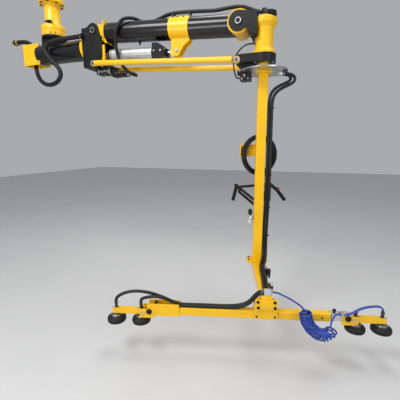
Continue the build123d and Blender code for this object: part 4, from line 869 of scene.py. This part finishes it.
# Head: cheeks and bracket, cap bolts, plate bolts and the brake
HEAD_LOW = -580.0
NECK_X = SWIVEL_X - 48.0
cheek = [(P2[0] + 78 * cos(radians(a)), P2[1] + 78 * sin(radians(a))) for a in range(90, 316, 9)]
cheek += [(BRACKET_X + 14, HEAD_LOW + 22), (NECK_X, HEAD_LOW), (NECK_X, HEAD_TOP + 16)]
for tag, y_back in (("near", -CHEEK_INNER), ("far", CHEEK_INNER + CHEEK_THICK)):
    made = bmesh.new()
    add_prism(made, row(0, y_back, 0), -Y_ROW, X_ROW, cheek, CHEEK_THICK)
    finish_piece(made, f"head_cheek_{tag}_look", black_paint, "head", slot="black_paint",
                 replaces=(f"head_cheek_{tag}",))
slabs("head_bracket_look", row, [
    ((BRACKET_X, NECK_X), (-CHEEK_INNER, CHEEK_INNER), (HEAD_LOW, HEAD_TOP + 16))
], black_paint, "head", corner=3, slot="black_paint", replaces=("head_bracket",))
bolts("cap_bolts", ring_places(row(CAP_X, 0, CAP_TOP), Z_UP, 50, 6, 0.3), Z_UP, 6, "head")
bolts("plate_bolts", [
    row(SWIVEL_X + 84 * cos(a), 84 * sin(a), DISC_TOP + DISC_GAP) for a in (-2.3, -1.2, -0.3, 0.8, 2.0)
], -Z_UP, 8, "head")
fittings(
    "neck_union", [row(SWIVEL_X - 57, -44, BRACKET_Z + 12)], Vector((-0.97, -0.24, 0)), 9, zinc, "head"
)
fittings("cap_union", [GLAND - X_ROW * 0.001], -X_ROW, 19, dark_steel, "head")
CALIPER_FACE = -45.0
bolts("caliper_bolts", [
    row(RIM_X + x, CALIPER_FACE, CALIPER_Z + z) for x, z in ((34, 14), (88, 14), (52, 44), (112, 96))
], -Y_ROW, 7, "head")
rods("caliper_bleed", [
    (row(RIM_X + 60, CALIPER_FACE, CALIPER_Z + 30), row(RIM_X + 60, -62, CALIPER_Z + 30), 8)
], brass, "head")

# Mast: bolts at both ends and ties round the hoses
bolts("disc_bolts", ring_places(tool(0, 0, DISC_TOP), Z_UP, 62, 6), Z_UP, 7, "tool")
bolts("mast_flange_bolts", [tool(x, y, MAST_TOP) for x in (-54, 54) for y in (-54, 54)], -Z_UP, 9, "tool")
FOOT_PLACES = [(x, y) for x in (-72, 72) for y in (-32, 32)]
bolts("mast_foot_bolts", [
    tool(x, y, MAST_BOTTOM) for x, y in FOOT_PLACES
], Z_UP, 10, "tool", look=dark_steel)
bolts("foot_nuts", [
    tool(x, y, MAST_BOTTOM - FOOT_T) for x, y in FOOT_PLACES
], -Z_UP, 10, "tool")
TIE_LEVELS = (-1130, -1420, -1700, -1990, -2250)
for number, z in enumerate(TIE_LEVELS):
    made = bmesh.new()
    add_slab(made, tool, ((38, 102), (-24, -20), (z - 4, z + 4)), 1.2)
    add_slab(made, tool, ((38, 102), (3, 7), (z - 4, z + 4)), 1.2)
    add_slab(made, tool, ((98, 102), (-24, 7), (z - 4, z + 4)), 1.2)
    finish_piece(made, f"hose_tie_{number}", plastic, "tool")

# Port block under the disc, tee at the beam, ejectors and regulator
slabs("port_block_look", tool, [
    ((118, 152), (-34, 34), (FLANGE_TOP - 30, FLANGE_TOP))
], alloy, "tool", corner=3, replaces=("vacuum_fittings",))
fittings("port_unions", [tool(150, -PORT_Y, -856), tool(150, PORT_Y, -857)], X_TOOL, 14, zinc, "tool",
         replaces=("vacuum_fittings",))
slabs("tee_look", tool, [
    ((-20, 31), (-664, -620), (FORWARD_TOP, FORWARD_TOP + 38))
], alloy, "tool", corner=4, replaces=("vacuum_fittings",))
made = bmesh.new()
for y in (TEE_OUTER_Y, TEE_INNER_Y):
    add_fitting(made, tool(-18, y, TEE_MID), -X_TOOL, 11.5)
for x in (RUN_OUTER_X, RUN_INNER_X):
    add_fitting(made, tool(x, TEE_BACK - 3, RUN_Z), Y_TOOL, 12)
add_fitting(made, tool(30, TEE_SIDE_Y, TEE_MID), X_TOOL, 9)
finish_piece(made, "tee_unions", zinc, "tool", replaces=("vacuum_fittings",))
slabs("ejector_bodies", tool, [
    ((MAST_FACE, 84), (-288, -162), (FORWARD_TOP - 38, FORWARD_TOP - 4)),
    ((58, 86), (-284, -230), (FORWARD_TOP - 4, FORWARD_TOP + 38)),
    ((MAST_FACE, 70), (-518, -452), (FORWARD_TOP - 38, FORWARD_TOP - 2)),
], plastic, "tool", corner=3, replaces=("vacuum_fittings",))
slabs("ejector_blocks", tool, [
    ((58, 86), (-222, -168), (FORWARD_TOP - 4, FORWARD_TOP + 26)),
    ((48, 70), (-512, -470), (FORWARD_TOP - 2, FORWARD_TOP + 22)),
], alloy, "tool", corner=3, replaces=("vacuum_fittings",))
rods("silencers", [
    (tool(72, -195, FORWARD_TOP + 26), tool(72, -195, FORWARD_TOP + 52), 11),
    (tool(72, -255, FORWARD_TOP + 38), tool(72, -255, FORWARD_TOP + 54), 12),
    (tool(59, -490, FORWARD_TOP + 22), tool(59, -490, FORWARD_TOP + 40), 9),
], white, "tool", replaces=("vacuum_fittings",))
fittings("ejector_unions", [
    tool(62, -288, FORWARD_TOP - 20), tool(57, -518, FORWARD_TOP - 20)
], -Y_TOOL, 11, zinc, "tool", replaces=("vacuum_fittings",))
REGULATOR_X, GAUGE_Z = -72.0, MAST_BOTTOM + 399.0
REGULATOR = tool(REGULATOR_X, 0, MAST_BOTTOM + 328)
lathe("regulator_bowl", REGULATOR, Z_UP, [
    (0, 0), (6, 0), (7, 6), (15, 10), (18, 16), (19, 44), (21, 46), (21, 52), (0, 52),
], white, "tool", segments=40, replaces=("vacuum_fittings",))
slabs("regulator_body", tool, [
    ((REGULATOR_X - 21, REGULATOR_X + 21), (-21, 21), (MAST_BOTTOM + 380, MAST_BOTTOM + 418)),
    ((-56, -MAST_FACE), (-12, 12), (MAST_BOTTOM + 372, MAST_BOTTOM + 424)),
], alloy, "tool", corner=3, replaces=("vacuum_fittings",))
lathe("regulator_knob", REGULATOR, Z_UP, [
    (0, 90), (15, 90), (15, 98), (19, 100), (19, 130), (17, 133), (12, 134), (12, 140), (0, 141),
], plastic, "tool", segments=40, replaces=("vacuum_fittings",))
lathe("regulator_gauge", tool(REGULATOR_X, -21, GAUGE_Z), -Y_TOOL, [
    (0, 0), (6, 0), (6, 5), (17, 6), (18, 8), (18, 17), (16, 18), (15.5, 16), (0, 16),
], dark_steel, "tool", segments=40, replaces=("vacuum_fittings",))
lathe("gauge_dial", tool(REGULATOR_X, -37.1, GAUGE_Z), -Y_TOOL, [(15.4, 0), (15.4, 0.6), (0, 0.6)],
      white, "tool", replaces=("vacuum_fittings",))

# Front of the forward tube: its end plate and the clamp plate that holds the beam's saddle
CLAMP_FACE = -668.0
slabs("forward_end_look", tool, [
    ((-39, 39), (-660, -658), (FORWARD_TOP - 79, FORWARD_TOP - 1))
], yellow, "tool", corner=0.8, slot="yellow_paint")
slabs("clamp_front_look", tool, [
    ((-80, 80), (CLAMP_FACE, -660.2), (BEAM_TOP + 34, BEAM_TOP + 110))
], yellow, "tool", corner=2, slot="yellow_paint")
bolts("clamp_bolts", [
    tool(x, CLAMP_FACE, BEAM_TOP + z) for x, z in ((-62, 94), (-58, 50), (58, 94), (62, 50))
], -Y_TOOL, 11, "tool", look=plastic)
bolts("saddle_bolts", [tool(x, -650, BEAM_TOP - 30) for x in (-66, 66)], -Y_TOOL, 8, "tool",
      look=dark_steel)

# Beam: knobs, the plug near its right end, and the union on the sliding bar
def knob_piece(name, x, z, body, node):
    """A lobed clamping knob on its stem."""
    made = bmesh.new()
    base = tool(x, BEAM_Y, z)
    add_lathe(made, base, Z_UP, [(0, 0), (8, 0), (8, 3), (5, 3), (5, 11), (0, 11)], 24)
    add_lathe(made, base, Z_UP, [
        (0, 9), (8, 9), (9, 12), (12.4, 14), (12.8, 18), (12.8, 24), (11, 27.4), (4, 28), (0, 28),
    ], 60, lobes=5)
    finish_piece(made, name, plastic, body, replaces=(node,))


knob_piece("beam_knob_look", -819, BEAM_TOP + 6, "tool", "beam_knob")
knob_piece("slide_knob_look", STRAND_X - 36, SLIDE_TOP, "right_slide", "slide_knob")
slabs("slide_union_look", tool, [
    ((STRAND_X - 12, STRAND_X + 12), (-625, -600), (SLIDE_TOP, BEAM_MID + 31)),
    ((STRAND_X - 10, STRAND_X + 10), (-663, -625.5), (BEAM_MID + 28, BEAM_MID + 56)),
], zinc, "right_slide", corner=2, replaces=("slide_knob",))
fittings("slide_unions", [tool(STRAND_X + 8, STRAND_Y, STRAND_Z)], X_TOOL, 9, zinc, "right_slide",
         replaces=("slide_knob",))
bolts("beam_plug", [tool(408, BEAM_Y - 30, BEAM_MID)], -Y_TOOL, 10, "tool", look=brass)
RING_IN, RING_OUT, NOTCH = 25.8, 29.0, 16.0
made = bmesh.new()
for y_low, y_high, z_low, z_high in (
    (-RING_OUT, -RING_IN, -RING_OUT, RING_OUT), (RING_IN, RING_OUT, -RING_OUT, RING_OUT),
    (-RING_IN, -NOTCH, RING_IN, RING_OUT), (NOTCH, RING_IN, RING_IN, RING_OUT),
    (-RING_IN, RING_IN, -RING_OUT, -RING_IN),
):
    add_slab(
        made, tool,
        ((470, 475), (BEAM_Y + y_low, BEAM_Y + y_high), (BEAM_MID + z_low, BEAM_MID + z_high)), 0.8
    )
finish_piece(made, "beam_mouth_ring", plastic, "tool")

# Handlebar: rail, braces, ribbed grips with their end collars, and the control box
BAR_NODE = ("handlebar",)
GRIP_RINGS = 9
RAIL_Y, PAD_FACE = 260.0, 48.0
RAIL_L, RAIL_R = tool(-190, RAIL_Y, -1844), tool(150, RAIL_Y, -1811)
GRIPS = [(RAIL_L, tool(-219, 280, -1979)), (tool(207, RAIL_Y, -1869), tool(284, 257, -1968))]
rods("handlebar_rail", [
    (RAIL_L, RAIL_R, 13), (tool(137, RAIL_Y, -1812), tool(207, RAIL_Y, -1869), 17)
], black_paint, "tool", slot="black_paint", replaces=BAR_NODE)
rods("handlebar_braces", [
    (tool(side * 20, 49, z), tool(end_x, end_y, z + 92), 13)
    for z in (-1944, -1986) for side, end_x, end_y in ((-1, -158, RAIL_Y), (1, 112, 250))
] + [(tool(-158, RAIL_Y, -1850), tool(-158, RAIL_Y, -1900), 14)], black_paint, "tool", replaces=BAR_NODE)
made = bmesh.new()
for start, end in GRIPS:
    length = (end - start).length / MM
    profile = [(0, 0), (18, 0), (19, 2), (19, 7), (16, 9)]
    for k in range(GRIP_RINGS):
        along = 12 + (length - 26) * k / (GRIP_RINGS - 1)
        profile += [(16.6, along - 4), (17.6, along), (16.6, along + 4)]
    profile += [(16, length - 8), (18.5, length - 6), (18, length - 1), (0, length)]
    add_lathe(made, start, end - start, profile, 36)
finish_piece(made, "handlebar_grips", grip_black, "tool", slot="hose_rubber", replaces=BAR_NODE)
slabs("handlebar_pad", tool, [
    ((-36, 36), (MAST_FACE, PAD_FACE), (-2008, -1922))
], black_paint, "tool", corner=1.5, replaces=BAR_NODE)
bolts("pad_bolts", [tool(x, PAD_FACE, z) for x in (-26, 26) for z in (-1998, -1932)], Y_TOOL, 7, "tool")
slabs("control_box", tool, [
    ((82, 124), (128, 250), (-1958, -1792)), ((-208, -172), (242, 280), (-1850, -1812)),
    ((192, 226), (244, 276), (-1884, -1844)),
], plastic, "tool", corner=6, replaces=BAR_NODE)
slabs("box_lid", tool, [
    ((124, 127), (134, 244), (-1952, -1798)), ((86, 120), (124.5, 128), (-1950, -1800))
], plastic, "tool", corner=1.2, replaces=BAR_NODE)
fittings("box_glands", [
    tool(103, y, -1958) for y in (160, 190, 220)
], -Z_UP, 9, dark_steel, "tool", replaces=BAR_NODE)
rods("box_buttons", [
    (tool(103, 126, z), tool(103, 118, z), 7) for z in (-1825, -1850)
], zinc, "tool", replaces=BAR_NODE)
rods("grip_buttons", [
    (tool(-206, 262, -1824), tool(-213, 262, -1824), 8),
    (tool(210, 246, -1862), tool(210, 239, -1862), 8),
], red, "tool", replaces=BAR_NODE)

# Hanger of the coil: a bracket behind the mast with a plate and a lip round the coil's left side
slabs("coil_hanger_look", tool, [
    ((-38, 38), (MAST_FACE, PAD_FACE), (-1504, -1384)), ((-16, 16), (47, 162), (-1500, -1424)),
    ((-168, 30), (155, 161), (-1540, -1432)), ((-168, -162), (100, 156), (-1540, -1432)),
    ((-38, 38), (104, 156), (-1388, -1384.5)),
], yellow, "tool", corner=1.5, slot="yellow_paint", replaces=("coil_hanger",))
bolts("hanger_bolts", [
    tool(x, PAD_FACE, z) for x in (-28, 28) for z in (-1494, -1394)
], Y_TOOL, 7, "tool")

# Floor, world and lamps
floor_mesh = bpy.data.meshes.new("floor")
made = bmesh.new()
bmesh.ops.create_grid(made, x_segments=8, y_segments=8, size=14.0)
made.to_mesh(floor_mesh)
made.free()
floor = bpy.data.objects.new("floor", floor_mesh)
floor.location = (1.5, 3.0, -3.05)
scene.collection.objects.link(floor)
floor_mesh.materials.append(
    material("floor_look", (0.62, 0.62, 0.62), 0.7, mottle=0.02, scale=1.5, bump=0.02, edge=0)
)

world = bpy.data.worlds.new("world")
scene.world = world
world.use_nodes = True
world.node_tree.nodes["Background"].inputs["Color"].default_value = (0.80, 0.81, 0.83, 1)
world.node_tree.nodes["Background"].inputs["Strength"].default_value = 0.50


def area(name, place, aim, size, power):
    """A soft lamp aimed at a point."""
    data = bpy.data.lights.new(name, "AREA")
    data.shape = "RECTANGLE"
    data.size = size[0]
    data.size_y = size[1]
    data.energy = power
    lamp = bpy.data.objects.new(name, data)
    lamp.location = place
    lamp.rotation_euler = (Vector(aim) - Vector(place)).to_track_quat("-Z", "Y").to_euler()
    scene.collection.objects.link(lamp)


area("key", (0.2, -3.2, 2.2), (1.6, 0, -1.2), (2.5, 1.5), 140)
area("top", (2.2, 0.5, 2.4), (1.8, 0, -1.0), (3.0, 2.0), 85)
area("fill", (5.0, -2.5, -0.5), (2.0, -0.2, -1.4), (2.0, 2.0), 34)
area("low", (0.6, -3.6, -1.3), (1.3, 0, -0.6), (2.0, 1.2), 40)
